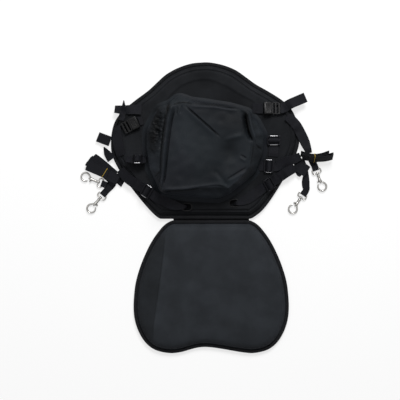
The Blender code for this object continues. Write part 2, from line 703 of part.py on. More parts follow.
def build_left_straps():
    x, y = LEFT_BUCKLE
    add_buckle("left_buckle", x, y, 207.0)
    Webbing().laid([(-0.1705, 0.2160, 0.002, 0.85), (-0.1610, 0.2190, 0.0, 0.85)]).build("left_bag_strap")
    Webbing().laid(
        [(-0.2319, 0.2481, 0.006, 0.75), (-0.2081, 0.2461, 0.003, 0.9), (-0.1806, 0.2465, 0.0),
         (-0.1640, 0.2455, 0.0)]
    ).build("left_strap_tail")
    Webbing().laid(
        [(-0.2150, 0.2195, 0.004, 0.7), (-0.2118, 0.2330, 0.0059, 0.7), (-0.2086, 0.2506, 0.0084, 0.5),
         (-0.2081, 0.2694, 0.016, 0.06)], bank=radians(35)
    ).build("left_upright_strap")
    Webbing().laid(
        [(-0.2262, 0.2070, 0.0020, 0.6), (-0.2256, 0.1956, 0.0018, 0.9), (-0.2246, 0.1706, 0.0010),
         (-0.2199, 0.1481, 0.0018), (-0.2156, 0.1310, 0.0018, 0.8)]
    ).build("left_wing_strap")
    Webbing().laid(
        [(-0.2751, 0.1794, 0.004), (-0.2600, 0.1735, 0.0024), (-0.2430, 0.1672, -0.0007)]
    ).build("left_middle_tail")
    Webbing().laid(
        [(-0.2590, 0.1535, 0.0048, 0.08), (-0.2510, 0.1380, 0.0008, 0.7), (-0.2400, 0.1220, -0.0014, 0.9)]
    ).build("left_lower_tail")
    strap = Webbing()
    strap.laid([(-0.2010, 0.1215, 0.0, 0.9), (-0.1900, 0.1210, 0.0)], steps=2, bank=-radians(50))
    strap.threaded(add_slide("left_middle_slide", -0.1730, 0.1210, 0.0, -50.0))
    strap.laid([(-0.1540, 0.1205, 0.0), (-0.1520, 0.1204, 0.0)], steps=1, bank=-radians(50))
    strap.build("left_middle_strap")
    strap = Webbing()
    strap.laid(
        [(-0.0515, 0.0031, -0.007, 0.3), (-0.0570, 0.0040, 0.0006, 0.4), (-0.0706, 0.0050, 0.0003, 0.75),
         (-0.0881, 0.0096, 0.0), (-0.1180, 0.0235, 0.0), (-0.1310, 0.0305, 0.0014)]
    )
    strap.threaded(add_slide("left_lower_slide", -0.1506, 0.0431, 146.0))
    strap.laid(
        [(-0.1690, 0.0550, 0.0025), (-0.1800, 0.0615, 0.0015), (-0.1931, 0.0700, 0.0012),
         (-0.2060, 0.0820, 0.002), (-0.2170, 0.0970, 0.004, 0.9)]
    )
    strap.build("left_lower_strap")


def serpentine(turns):
    """Points of a folded strap seen on edge: along and across, with a half-round fold between two turns."""
    points = []
    radius = WEBBING_LAYER / 2
    for number, (start, end) in enumerate(turns):
        offset = number * WEBBING_LAYER
        points += [(start + (end - start) * step / 4, offset) for step in range(5)]
        if number + 1 < len(turns):
            outward = radius if end > start else -radius
            for step in (1, 2):
                angle = pi * step / 3
                points.append((end + outward * sin(angle), offset + radius - radius * cos(angle)))
    return points


def add_bundle(name, centre, heading_degrees, roll_degrees, turns, bow=0.0, fan=0.0, spread_degrees=0.0):
    """Folded spare webbing. It lies flat at a roll of 0 and stands on its edge at 90 degrees.

    The bow curves it sideways and the fan parts its layers towards its ends. The spread turns each layer a
    little further about the centre than the one below it. Returns the frame of its tie.
    """
    heading = radians(heading_degrees)
    roll = radians(roll_degrees)
    along = Vector((cos(heading), sin(heading), 0.0))
    aside = Vector((-sin(heading), cos(heading), 0.0))
    half = aside * cos(roll) + Vector((0.0, 0.0, sin(roll)))
    stack = along.cross(half)
    middle = (len(turns) - 1) * WEBBING_LAYER / 2
    centre = (outboard(centre[0]), *centre[1:])
    strap = Webbing()
    for u, w in serpentine(turns):
        turn = Matrix.Rotation(radians(spread_degrees) * (w - middle) / WEBBING_LAYER, 3, stack)
        w += (w - middle) * fan * max(0.0, abs(u) - 0.008)
        place = Vector(centre) + turn @ (along * u) + stack * w + aside * bow * u * u
        strap.add(place, turn @ half * WEBBING_WIDTH / 2)
    strap.build(name)
    return Matrix((half, stack, along)).transposed().to_4x4()


def add_tie(name, centre, frame, layers):
    """A thin elastic round the bundle, square to its length."""
    depth = (layers - 1) * WEBBING_LAYER
    radius = 0.0007
    spare = WEBBING_THICKNESS / 2 + GAP + radius
    loop = rounded_rectangle(WEBBING_WIDTH + 2 * (GAP + radius), depth + 2 * spare, radius + GAP, 2)
    curve = bpy.data.curves.new(name, "CURVE")
    curve.dimensions = "3D"
    curve.bevel_depth = radius
    curve.bevel_resolution = 0
    spline = curve.splines.new("POLY")
    spline.points.add(len(loop) - 1)
    for point, (x, y) in zip(spline.points, loop):
        point.co = (x, y + depth / 2, 0.0, 1.0)
    spline.use_cyclic_u = True
    frame = frame.copy()
    frame.translation = Vector((outboard(centre[0]), *centre[1:]))
    add_object(name, curve, TIE_RUBBER, frame)


def build_bundles():
    turns = [(-0.034, 0.034), (0.034, -0.028), (-0.028, 0.044), (0.044, -0.014)]
    frame = add_bundle("right_bundle", RIGHT_BUNDLE, 0.0, 60.0, turns, bow=4.5, fan=35.0)
    add_tie("right_tie", RIGHT_BUNDLE, frame, len(turns))
    turns = [(-0.030, -0.002), (-0.002, -0.033), (-0.033, -0.002), (-0.002, -0.030)]
    add_bundle("right_hank", RIGHT_HANK, 36.0, 0.0, turns, spread_degrees=14.0)
    turns = [(-0.040, 0.050), (0.050, -0.036), (-0.036, 0.046), (0.046, -0.008)]
    frame = add_bundle("left_bundle", LEFT_BUNDLE, 148.0, 0.0, turns, spread_degrees=6.0)
    add_tie("left_tie", LEFT_BUNDLE, frame, len(turns))


def wire(name, points, radius, cyclic=False, sides=1):
    curve = bpy.data.curves.new(name, "CURVE")
    curve.dimensions = "3D"
    curve.bevel_depth = radius
    curve.bevel_resolution = sides
    curve.use_fill_caps = True
    spline = curve.splines.new("POLY")
    spline.points.add(len(points) - 1)
    for point, place in zip(spline.points, points):
        point.co = (*place, 1.0)
    spline.use_cyclic_u = cyclic
    return curve


def turned(name, profile, steps=8):
    """A profile of x and radius turned about the X axis and closed."""
    mesh = bpy.data.meshes.new(name)
    count = len(profile)
    rings = []
    for step in range(steps):
        angle = 2 * pi * step / steps
        rings += [(x, radius * cos(angle), radius * sin(angle)) for x, radius in profile]
    faces = []
    for step in range(steps):
        here = step * count
        there = (step + 1) % steps * count
        for i in range(count):
            j = (i + 1) % count
            faces.append((here + i, here + j, there + j, there + i))
    return mesh_of(name, rings, faces)


def joined(name, meshes, cutters=()):
    """A Boolean union of meshes, less the cutters."""
    body = bpy.data.objects.new(name, meshes[0])
    SEAT_PARTS.objects.link(body)
    helpers = []
    unions = [(mesh, "UNION") for mesh in meshes[1:]]
    cuts = [(mesh, "DIFFERENCE") for mesh in cutters]
    for mesh, operation in unions + cuts:
        helper = bpy.data.objects.new(name + "_helper", mesh)
        CUTTERS.objects.link(helper)
        combine(body, helper, operation)
        helpers.append(helper)
    mesh = mesh_from(body)
    for helper in helpers:
        bpy.data.objects.remove(helper, do_unlink=True)
    mesh.name = name
    mesh.shade_smooth()
    mesh.set_sharp_from_angle(angle=radians(40))
    return mesh


def from_curve(curve):
    obj = bpy.data.objects.new(curve.name, curve)
    SEAT_PARTS.objects.link(obj)
    return mesh_from(obj)


def solid_round(name, profile, steps=8):
    """A turned solid whose profile starts and ends on the axis."""
    points = []
    count = len(profile) - 2
    faces = []
    for step in range(steps):
        angle = 2 * pi * step / steps
        points += [(x, radius * cos(angle), radius * sin(angle)) for x, radius in profile[1:-1]]
    first = len(points)
    points += [(profile[0][0], 0.0, 0.0), (profile[-1][0], 0.0, 0.0)]
    for step in range(steps):
        here = step * count
        there = (step + 1) % steps * count
        for i in range(count - 1):
            faces.append((here + i, here + i + 1, there + i + 1, there + i))
        faces.append((first, here, there))
        faces.append((first + 1, there + count - 1, here + count - 1))
    return mesh_of(name, points, faces)


EYE_BOSS_X = EYE_WIRE_RADIUS + EYE_INNER_LENGTH


def eye_mesh():
    """The swivel eye: a wire loop round the webbing's fold, with a drilled boss opposite its bar."""
    width = EYE_INNER_WIDTH + 2 * EYE_WIRE_RADIUS
    length = EYE_INNER_LENGTH + 2 * EYE_WIRE_RADIUS
    loop = rounded_rectangle(length, width, 0.0035, 2)
    path = [(x + length / 2, y, 0.0) for x, y in loop]
    boss_end = EYE_BOSS_X + SWIVEL_LENGTH - 0.0010
    boss = [
        (EYE_BOSS_X - 0.0003, PIN_RADIUS + GAP), (EYE_BOSS_X - 0.0003, SWIVEL_RADIUS),
        (boss_end, SWIVEL_RADIUS * 0.9), (boss_end, PIN_RADIUS + GAP),
    ]
    drill = solid_round("drill", [(EYE_BOSS_X - 0.003, 0.0), (EYE_BOSS_X - 0.003, PIN_RADIUS + GAP),
                                  (EYE_BOSS_X + 0.008, PIN_RADIUS + GAP), (EYE_BOSS_X + 0.008, 0.0)], 8)
    loop_mesh = from_curve(wire("eye_wire", path, EYE_WIRE_RADIUS, cyclic=True))
    return joined("snap_eye", [loop_mesh, turned("boss", boss)], [drill])


def hook_mesh():
    """The hook body: headed swivel pin, barrel bored for the bolt, a slot for its knob, and the open ring."""
    head = EYE_BOSS_X - 0.0006
    profile = [
        (head - 0.0016, 0.0), (head - 0.0016, 0.0021), (head, 0.0024), (head, PIN_RADIUS),
        (SHANK_START, PIN_RADIUS), (SHANK_START, 0.0030), (SHANK_START + 0.0015, SHANK_RADIUS),
        (SHANK_START + 0.0030, SHANK_RADIUS), (SHANK_START + 0.0045, SHANK_RADIUS * 0.86),
        (SHANK_START + 0.0120, SHANK_RADIUS * 0.86), (SHANK_START + 0.0135, SHANK_RADIUS),
        (SHANK_END, SHANK_RADIUS), (SHANK_END, 0.0),
    ]
    start = radians(218)
    stop = radians(514)
    ring = []
    for step in range(12):
        angle = start + (stop - start) * step / 11
        ring.append((RING_CENTRE + RING_RADIUS * cos(angle), RING_RADIUS * sin(angle), 0.0))
    ring.insert(0, (SHANK_END - 0.002, -(SHANK_RADIUS + SHANK_BORE_RADIUS) / 2 - 0.0003, 0.0))
    bore = solid_round("bore", [(SHANK_START + 0.005, 0.0), (SHANK_START + 0.005, SHANK_BORE_RADIUS),
                                (SHANK_END + 0.003, SHANK_BORE_RADIUS), (SHANK_END + 0.003, 0.0)])
    bpy.ops.mesh.primitive_cube_add(size=1.0)
    slot = bpy.context.object
    slot.scale = (BOLT_TRAVEL + 2 * 0.0011 + 4 * GAP, KNOB_REACH, 2 * 0.0011 + 2 * GAP)
    slot.location = (KNOB_X - BOLT_TRAVEL / 2, KNOB_REACH / 2, 0.0)
    slot_mesh = mesh_from(slot)
    ring_mesh = from_curve(wire("ring", ring, RING_WIRE_RADIUS))
    return joined("snap_hook", [solid_round("shank", profile), ring_mesh], [bore, slot_mesh])


KNOB_X = SHANK_END - 0.0035
BOLT_TIP_X = RING_CENTRE - RING_RADIUS + 0.0025


def bolt_mesh():
    """The spring bolt: a rod in the barrel's bore, with a thumb knob that stands out through the slot."""
    rod = [(KNOB_X - 0.004, 0.0), (KNOB_X - 0.004, BOLT_RADIUS), (BOLT_TIP_X - 0.0006, BOLT_RADIUS),
           (BOLT_TIP_X, BOLT_RADIUS * 0.6), (BOLT_TIP_X, 0.0)]
    stem_end = KNOB_REACH - 0.001
    stem = solid_round("stem", [(0.0, 0.0), (0.0, 0.0011), (stem_end, 0.0011), (stem_end, 0.0)], 6)
    knob = solid_round("knob", [(KNOB_REACH - 0.0025, 0.0), (KNOB_REACH - 0.0022, KNOB_RADIUS * 0.75),
                                (KNOB_REACH - 0.0010, KNOB_RADIUS), (KNOB_REACH + 0.0005, KNOB_RADIUS * 0.8),
                                (KNOB_REACH + 0.0012, 0.0)])
    aside = Matrix.Translation((KNOB_X, 0.0, 0.0)) @ Matrix.Rotation(pi / 2, 4, "Z")
    stem.transform(aside)
    knob.transform(aside)
    return joined("snap_bolt", [solid_round("rod", rod), stem, knob])


def build_snap_hooks():
    meshes = {"eye": eye_mesh(), "hook": hook_mesh(), "bolt": bolt_mesh()}
    for side, ((x, y), (ring_x, ring_y), knob_side) in SNAP_HOOKS.items():
        heading = atan2(ring_y - y, ring_x - x)
        frame = Matrix.Translation((outboard(x), y, HOOK_AXIS_Z)) @ Matrix.Rotation(heading, 4, "Z")
        if knob_side < 0:
            frame = frame @ Matrix.Rotation(pi, 4, "X")
        for piece, mesh in meshes.items():
            add_object(f"{side}_snap_{piece}", mesh, HOOK_METAL, frame)


def hook_webbing(name, side, route):
    """A strap that runs along the floor to a hook, round the bar of its eye and back on itself."""
    (x, y), (ring_x, ring_y), _ = SNAP_HOOKS[side]
    ahead = Vector((ring_x - x, ring_y - y, 0.0)).normalized()
    aside = Vector((-ahead.y, ahead.x, 0.0)) * HOOK_WEBBING_WIDTH / 2
    bar = Vector((outboard(x), y, HOOK_AXIS_Z))
    radius = EYE_WIRE_RADIUS + 2 * GAP + WEBBING_THICKNESS / 2
    strap = Webbing()
    share = HOOK_WEBBING_WIDTH / WEBBING_WIDTH
    points = [(*point, 0.9)[:4] for point in route]
    last = Vector((x, y, 0.0)) - ahead * 0.012
    points.append((last.x, last.y, points[-1][2], share))
    strap.laid(points)
    for degrees in (270, 310, 350, 30, 70, 110):
        angle = radians(degrees)
        strap.add(bar + ahead * radius * cos(angle) + Vector((0.0, 0.0, radius * sin(angle))), aside)
    for back in (0.006, 0.010):
        strap.add(bar - ahead * back + Vector((0.0, 0.0, radius * 0.7)), aside)
    strap.build(name)


def build_hook_webbing():
    hook_webbing(
        "right_upper_hook_strap", "right_upper",
        [(0.2645, 0.1235, 0.0, 0.8), (0.2670, 0.1140, 0.0, 0.75)],
    )
    hook_webbing(
        "right_lower_hook_strap", "right_lower",
        [(0.2470, 0.0980, 0.0, 0.45), (0.2490, 0.0870, 0.0, 0.5), (0.2480, 0.0656, 0.0, 0.8)],
    )
    hook_webbing(
        "left_upper_hook_strap", "left_upper",
        [(-0.2380, 0.0640, -0.0008, 0.7), (-0.2430, 0.0602, -0.0006, 0.7)],
    )
    hook_webbing(
        "left_lower_hook_strap", "left_lower",
        [(-0.2365, 0.0630, 0.0010, 0.7), (-0.2420, 0.0560, 0.0014, 0.7)],
    )


build_pads()
build_seam()
build_bag()
build_right_straps()
build_left_straps()
build_bundles()
build_snap_hooks()
build_hook_webbing()
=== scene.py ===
"""Looks of the kayak seat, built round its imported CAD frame.

Metres, +Z up. The seat lies unfolded with its rear side and its storage bag up, so the camera looks straight down.
"""

from math import atan2, cos, pi, radians, sin

import bmesh
import bpy
import numpy as np
from mathutils import Matrix, Vector

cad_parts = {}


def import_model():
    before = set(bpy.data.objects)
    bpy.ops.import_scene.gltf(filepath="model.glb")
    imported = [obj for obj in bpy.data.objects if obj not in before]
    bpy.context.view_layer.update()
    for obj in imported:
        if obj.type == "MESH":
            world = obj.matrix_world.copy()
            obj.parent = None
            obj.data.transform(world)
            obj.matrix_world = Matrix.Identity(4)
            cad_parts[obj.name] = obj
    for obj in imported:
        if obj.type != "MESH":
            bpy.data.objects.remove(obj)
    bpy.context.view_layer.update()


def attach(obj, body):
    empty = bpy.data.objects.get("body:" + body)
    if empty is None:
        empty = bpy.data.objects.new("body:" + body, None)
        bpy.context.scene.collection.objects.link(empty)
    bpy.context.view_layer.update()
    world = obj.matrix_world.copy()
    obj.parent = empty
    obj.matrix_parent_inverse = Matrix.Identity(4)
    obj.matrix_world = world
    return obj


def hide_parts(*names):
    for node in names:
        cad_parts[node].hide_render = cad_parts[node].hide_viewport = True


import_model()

# Sizes shared with the CAD source
SEAM_Y = -0.0285
SEAM_ROLL = 0.0018
BACK_HEIGHT = 0.395
BACK_WIDTH = 0.473
BACK_THICKNESS = 0.024
BACK_AXIS_X = 0.0069
BACK_TURN = radians(3.5)
BACK_HALF_SHAPE = (
    (-0.03, 0.0), (-0.03, 0.34), (0.0, 0.47), (0.05, 0.582), (0.15, 0.717), (0.28, 0.864), (0.38, 0.955),
    (0.455, 0.997), (0.52, 1.0), (0.595, 0.982), (0.665, 0.938), (0.725, 0.85), (0.785, 0.715),
    (0.84, 0.574), (0.892, 0.468), (0.938, 0.37), (0.975, 0.24), (0.997, 0.1), (1.0, 0.0),
)
RECESS_DEPTH = 0.002
RECESS_OUTLINE = (
    (-0.103, 0.263), (-0.0756, 0.298), (-0.0406, 0.3166), (-0.009, 0.3214), (0.016, 0.318), (0.048, 0.304),
    (0.086, 0.282), (0.1176, 0.263), (0.112, 0.241), (0.072, 0.2156), (-0.018, 0.208), (-0.093, 0.2256),
)
SLOT_LENGTH = 0.0235
SLOT_WIDTH = 0.0165
SLOT_DEPTH = 0.012
SLOTS = {"right": (0.0676, 0.0124), "left": (-0.0511, 0.0031)}
SEAT_LENGTH = 0.335
SEAT_WIDTH = 0.390
SEAT_THICKNESS = 0.026
SEAT_AXIS_X = 0.0101
SEAT_HALF_SHAPE = (
    (0.0, 0.0), (-0.005, 0.3), (0.0, 0.46), (0.03, 0.58), (0.085, 0.672), (0.16, 0.762), (0.25, 0.842),
    (0.35, 0.912), (0.46, 0.968), (0.56, 0.992), (0.66, 1.0), (0.75, 0.985), (0.84, 0.935), (0.92, 0.85),
    (0.975, 0.73), (1.0, 0.56), (0.995, 0.4),
)
SEAT_NOTCH = (-0.016, 0.955)
SEAT_CROWN = 0.003
TAPE_THICKNESS = 0.007
TAPE_LOW = 0.003
BAG_DEPTH = 0.056
BAG_BASE_Z = 0.0246
WEBBING_THICKNESS = 0.0016
HOOK_AXIS_Z = 0.0042
CAMERA_PLACE = np.array([-0.0181, 0.0206])
CAMERA_HEIGHT = 2.38
UP = (0.0, 0.0, 1.0)
HOOKS = {
    "right_upper": ((0.2731, 0.0981), (0.2904, 0.0511), -1),
    "right_lower": ((0.2424, 0.0356), (0.2161, -0.0014), -1),
    "left_upper": ((-0.2630, 0.0615), (-0.3041, 0.0778), 1),
    "left_lower": ((-0.2614, 0.0349), (-0.2926, -0.0016), 1),
}

# Straps as rows of stations: centre and half width as a vector, in millimetres
STRAPS = {
    "left_bag_strap": (
        (-170.5, 216, 27.7, -3.2, 10.1, 0), (-165.7, 217.5, 26.7, -3.2, 10.1, 0),
        (-161, 219, 25.7, -3.2, 10.1, 0),
    ),
    "left_bundle": (
        (-226.7, 62.2, 7.4, -8.2, -9.4, 0), (-243.7, 76.9, 7.4, -8.2, -9.4, 0),
        (-260.7, 91.7, 7.4, -8.2, -9.4, 0), (-277.7, 106.4, 7.4, -8.2, -9.4, 0),
        (-294.6, 121.2, 7.4, -8.2, -9.4, 0), (-296.3, 120.9, 8, -8, -9.6, 0),
        (-297.9, 118.8, 9.2, -7.4, -10, 0), (-297.9, 117.1, 9.8, -7.2, -10.2, 0),
        (-280.2, 104.7, 9.8, -7.2, -10.2, 0), (-262.6, 92.4, 9.8, -7.2, -10.2, 0),
        (-245, 80.1, 9.8, -7.2, -10.2, 0), (-227.4, 67.8, 9.8, -7.2, -10.2, 0),
        (-226, 68, 10.4, -6.9, -10.4, 0), (-225, 69.6, 11.6, -6.3, -10.8, 0),
        (-225.4, 70.9, 12.2, -6.1, -10.9, 0), (-243.3, 80.9, 12.2, -6.1, -10.9, 0),
        (-261.3, 90.8, 12.2, -6.1, -10.9, 0), (-279.2, 100.8, 12.2, -6.1, -10.9, 0),
        (-297.1, 110.7, 12.2, -6.1, -10.9, 0), (-298.6, 110.1, 12.8, -5.8, -11.1, 0),
        (-299.7, 107.9, 14, -5.2, -11.4, 0), (-299.2, 106.4, 14.6, -4.9, -11.5, 0),
        (-286.8, 101.1, 14.6, -4.9, -11.5, 0), (-274.4, 95.8, 14.6, -4.9, -11.5, 0),
        (-262, 90.5, 14.6, -4.9, -11.5, 0), (-249.5, 85.3, 14.6, -4.9, -11.5, 0),
    ),
    "left_lower_hook_strap": (
        (-236.5, 63, 4.6, 7, -5.2, 0.4), (-238.9, 59.8, 3.7, 6.9, -5.4, 0), (-242, 56, 3.1, 6.5, -5.9, 0),
        (-247.4, 50.3, 3.1, 6.1, -5.9, 0), (-253.6, 44, 3.1, 5.9, -5.8, 0), (-261.4, 34.9, 1.1, 6.3, -5.4, 0),
        (-262.7, 33.4, 1.8, 6.3, -5.4, 0), (-263.4, 32.6, 3.7, 6.3, -5.4, 0),
        (-263.1, 32.9, 5.8, 6.3, -5.4, 0), (-262.1, 34.1, 7.1, 6.3, -5.4, 0),
        (-260.7, 35.7, 7.1, 6.3, -5.4, 0), (-257.5, 39.5, 6.4, 6.3, -5.4, 0),
        (-254.9, 42.5, 6.4, 6.3, -5.4, 0),
    ),
    "left_lower_strap": (
        (-51.5, 3.1, 18.7, -0.7, -3.7, 0), (-53.7, 3.5, 23, -0.7, -4.1, 0), (-57, 4, 26.4, -0.4, -5, -0.1),
        (-63.1, 4.3, 27.1, -0.5, -7.1, -0.9), (-70.6, 5, 26.8, -1.4, -9.3, -1.6),
        (-78.3, 6.5, 26.7, -2.9, -10.8, -1.6), (-88.1, 9.6, 26.3, -4.6, -11.6, -0.6),
        (-103.3, 16.4, 25.6, -5.4, -11.5, 0), (-118, 23.5, 25.7, -5.6, -11.2, 0),
        (-125.6, 27.4, 26.9, -5.9, -11, -1.1), (-131, 30.5, 28.1, -6.1, -10.9, -2),
        (-137.7, 35.2, 27.6, -6.2, -9.9, -4.4), (-143, 38.8, 27, -6.2, -9.9, -4.4),
        (-149.6, 40.4, 32.5, -6.2, -9.9, -4.4), (-154.2, 43.5, 32, -6.2, -9.9, -4.4),
        (-157.2, 48.4, 25.3, -6.2, -9.9, -4.4), (-162.5, 51.9, 24.7, -6.2, -9.9, -4.4),
        (-169, 55, 24.7, -6.3, -10.8, -7), (-174.4, 58.1, 24, -6.4, -10.8, -7),
        (-180, 61.5, 20.2, -6.5, -10.7, -7), (-186.4, 65.4, 20.3, -6.8, -10.5, -5.8),
        (-193.1, 70, 18.6, -7.6, -9.9, -4.8), (-199.7, 75.6, 18.5, -8.6, -9.2, -5.1),
        (-206, 82, 18.9, -9.4, -8.2, -5.3), (-211.6, 89.3, 18.3, -9.6, -7.1, -4.3),
        (-217, 97, 18.6, -9.2, -6.5, -3.2),
    ),
    "left_lower_tail": (
        (-259, 153.5, 12.1, 0.9, 0.4, 0.4), (-255.2, 145.8, 11.4, 4.6, 2.4, 1.9),
        (-251, 138, 10.4, 7.5, 4.5, 3), (-245.7, 130, 10.3, 8.5, 5.9, 2.7), (-240, 122, 10.3, 9.2, 6.5, 2.2),
    ),
    "left_middle_strap": (
        (-201, 121.5, 34.3, 0.3, 7.2, -8.6), (-195.5, 121.3, 34.8, 0.3, 7.6, -9.1),
        (-190, 121, 35.3, 0.4, 8, -9.6), (-188, 119.5, 39.3, 0, 8, -9.6), (-181.6, 119.5, 39.3, 0, 8, -9.6),
        (-175.8, 124.6, 43.6, 0, 8, -9.6), (-170.2, 124.6, 43.6, 0, 8, -9.6),
        (-164.4, 119.5, 39.3, 0, 8, -9.6), (-158, 119.5, 39.3, 0, 8, -9.6), (-154, 120.5, 35.3, 0.4, 8, -9.6),
        (-152, 120.4, 35.3, 0.4, 8, -9.6),
    ),
    "left_middle_tail": (
        (-275.1, 179.4, 6.7, 4.6, 11.6, 0), (-267.7, 176.5, 7.9, 4.5, 11.6, 1.3),
        (-260, 173.5, 10.1, 4.4, 11.7, 1.5), (-251.6, 170.4, 12, 4.3, 11.7, 1.5),
        (-243, 167.2, 11.2, 4.3, 11.7, 0.2),
    ),
    "left_strap_tail": (
        (-231.9, 248.1, 13.8, 0.9, 9.3, -2.2), (-220.2, 247, 16.1, 0.9, 10.3, -1.9),
        (-208.1, 246.1, 15.1, 0.3, 11.2, -0.4), (-193.9, 246.2, 20.7, -0.2, 12, -5),
        (-180.6, 246.5, 23.4, 0.1, 12.5, -7), (-171.6, 246.1, 26, 0.8, 12.6, -4),
        (-164, 245.5, 26.8, 1, 12.5, -2.2),
    ),
    "left_upper_hook_strap": (
        (-238, 64, 2.3, 5.7, -6.6, 0), (-240.3, 62.1, 1.1, 5.3, -7, 0), (-243, 60.2, 1.1, 3.9, -7.8, 0),
        (-247.2, 58.6, 1.1, 2.8, -8, 0), (-251.8, 57.1, 1.1, 2.6, -7.8, 0), (-263, 61.5, 1.1, -3, -7.7, 0),
        (-264.9, 62.2, 1.8, -3, -7.7, 0), (-265.8, 62.6, 3.7, -3, -7.7, 0), (-265.5, 62.5, 5.8, -3, -7.7, 0),
        (-264, 61.9, 7.1, -3, -7.7, 0), (-262, 61.1, 7.1, -3, -7.7, 0), (-257.4, 59.3, 6.4, -3, -7.7, 0),
        (-253.7, 57.8, 6.4, -3, -7.7, 0),
    ),
    "left_upright_strap": (
        (-215, 219.5, 27.7, -7, 1.7, 0.1), (-213.4, 226, 27.5, -7.1, 1.7, 0.7),
        (-211.8, 233, 27.4, -7, 1.5, 3.9), (-210, 241.5, 23, -6.3, 1.1, 4.5),
        (-208.6, 250.6, 24, -5.1, 0.5, 3.3), (-208.2, 259.9, 25.3, -3, 0.1, 1.3),
        (-208.1, 269.4, 24.8, -0.6, 0, 0.3),
    ),
    "left_wing_strap": (
        (-226.2, 207, 19.4, 7.5, 0.4, 2.3), (-225.9, 202.2, 18.8, 9.5, 0.5, 5.1),
        (-225.6, 195.6, 20.9, 11.2, 0.3, 5.8), (-225.4, 183.8, 20, 12.1, 0.5, 7),
        (-224.6, 170.6, 21.7, 12.4, 1.4, 7), (-222.5, 158.9, 23.5, 12.5, 2.6, 7),
        (-219.9, 148.1, 24, 12.2, 2.9, 7), (-217.7, 139.2, 24, 11.1, 2.8, 7),
        (-215.6, 131, 23.5, 9.7, 2.5, 7.1),
    ),
    "right_bag_strap": (
        (112.5, 249, 25.7, 0.4, 12.5, 0), (118.6, 248.8, 26.1, 0.4, 12.5, 0), (125, 248.6, 26.7, 0.4, 12.5, 0),
        (132.1, 248.4, 27.6, 0.4, 12.5, 0), (139.4, 248.1, 28.7, 0.4, 12.5, 0),
    ),
    "right_bundle": (
        (234.1, 136.9, 14.4, 0, 6.2, 10.8), (251.1, 131.2, 15.4, 0, 6.2, 10.8),
        (268.1, 128.9, 16, 0, 6.2, 10.8), (285.1, 131.2, 15.4, 0, 6.2, 10.8),
        (302.1, 136.9, 14.4, 0, 6.2, 10.8), (303.1, 136.4, 14.9, 0, 6.2, 10.8),
        (303.1, 134.3, 16, 0, 6.2, 10.8), (302.1, 133, 16.7, 0, 6.2, 10.8), (286.6, 128.7, 17, 0, 6.2, 10.8),
        (271.1, 126.9, 17.2, 0, 6.2, 10.8), (255.6, 127.7, 17.1, 0, 6.2, 10.8),
        (240.1, 131.1, 16.8, 0, 6.2, 10.8), (239.1, 130.5, 17.3, 0, 6.2, 10.8),
        (239.1, 128.7, 18.3, 0, 6.2, 10.8), (240.1, 127.5, 18.8, 0, 6.2, 10.8),
        (258.1, 125.1, 18.4, 0, 6.2, 10.8), (276.1, 125, 18.4, 0, 6.2, 10.8),
        (294.1, 127.1, 18.8, 0, 6.2, 10.8), (312.1, 132.1, 19.2, 0, 6.2, 10.8),
        (313.1, 131.3, 19.9, 0, 6.2, 10.8), (313.1, 128.9, 21.2, 0, 6.2, 10.8),
        (312.1, 127.4, 21.9, 0, 6.2, 10.8), (297.6, 124.2, 21, 0, 6.3, 10.8), (283.1, 122.9, 20, 0, 6.2, 10.8),
        (268.6, 122.7, 19.6, 0, 6.2, 10.8), (254.1, 122.9, 20, 0, 6.3, 10.8),
    ),
    "right_curled_strap": (
        (165.5, 184, 26, 12.5, 0, 0), (165.5, 177.6, 26, 12.5, 0, 0), (165.5, 171.8, 32.6, 12.5, 0, 0),
        (165.5, 166.2, 32.6, 12.5, 0, 0), (165.5, 160.4, 26, 12.5, 0, 0), (165.5, 154, 26, 12.5, 0, 0),
        (165, 150, 25.7, 12.5, -0.5, 0), (164.7, 143.8, 26.3, 12.5, -0.5, 0),
        (164.5, 138, 26.7, 12.5, -0.6, 0), (164.3, 133.3, 26.3, 12.5, -0.7, 0),
        (164, 129, 25.7, 12.5, -0.7, 0),
    ),
    "right_hank": (
        (220, 103.2, 4, -3.2, 12.1, 0), (226.8, 105, 4, -3.2, 12.1, 0), (233.5, 106.9, 4, -3.2, 12.1, 0),
        (240.3, 108.7, 4, -3.2, 12.1, 0), (247.1, 110.5, 4, -3.2, 12.1, 0), (248.1, 110.7, 4.6, -4, 11.9, 0),
        (248.1, 110.6, 5.8, -5.4, 11.3, 0), (247.3, 110, 6.4, -6.1, 10.9, 0),
        (240.5, 106.3, 6.4, -6.1, 10.9, 0), (233.7, 102.5, 6.4, -6.1, 10.9, 0),
        (226.9, 98.8, 6.4, -6.1, 10.9, 0), (220.1, 95, 6.4, -6.1, 10.9, 0), (220.3, 92.7, 7, -6.7, 10.5, 0),
        (222.7, 89.3, 8.2, -8, 9.6, 0), (224.9, 88.5, 8.8, -8.5, 9.1, 0), (230.5, 93.8, 8.8, -8.5, 9.1, 0),
        (236.2, 99.1, 8.8, -8.5, 9.1, 0), (241.9, 104.4, 8.8, -8.5, 9.1, 0), (247.5, 109.6, 8.8, -8.5, 9.1, 0),
        (248.3, 110.3, 9.4, -9.1, 8.6, 0), (248.4, 110.2, 10.6, -10, 7.4, 0),
        (247.9, 109.3, 11.2, -10.5, 6.8, 0), (244.1, 103.5, 11.2, -10.5, 6.8, 0),
        (240.3, 97.6, 11.2, -10.5, 6.8, 0), (236.5, 91.7, 11.2, -10.5, 6.8, 0),
        (232.7, 85.8, 11.2, -10.5, 6.8, 0),
    ),
    "right_lower_hook_strap": (
        (247, 98, 1.7, 5.5, 1.3, 0), (248.2, 93.1, 1.7, 5.6, 1, 0), (249, 87, 1.7, 6.2, 0.1, 0),
        (248.5, 76.9, 1.7, 8.3, -0.4, 0), (248, 65.6, 1.7, 10, 0, 0), (248.5, 55.4, 1.7, 9.4, 0.6, 0),
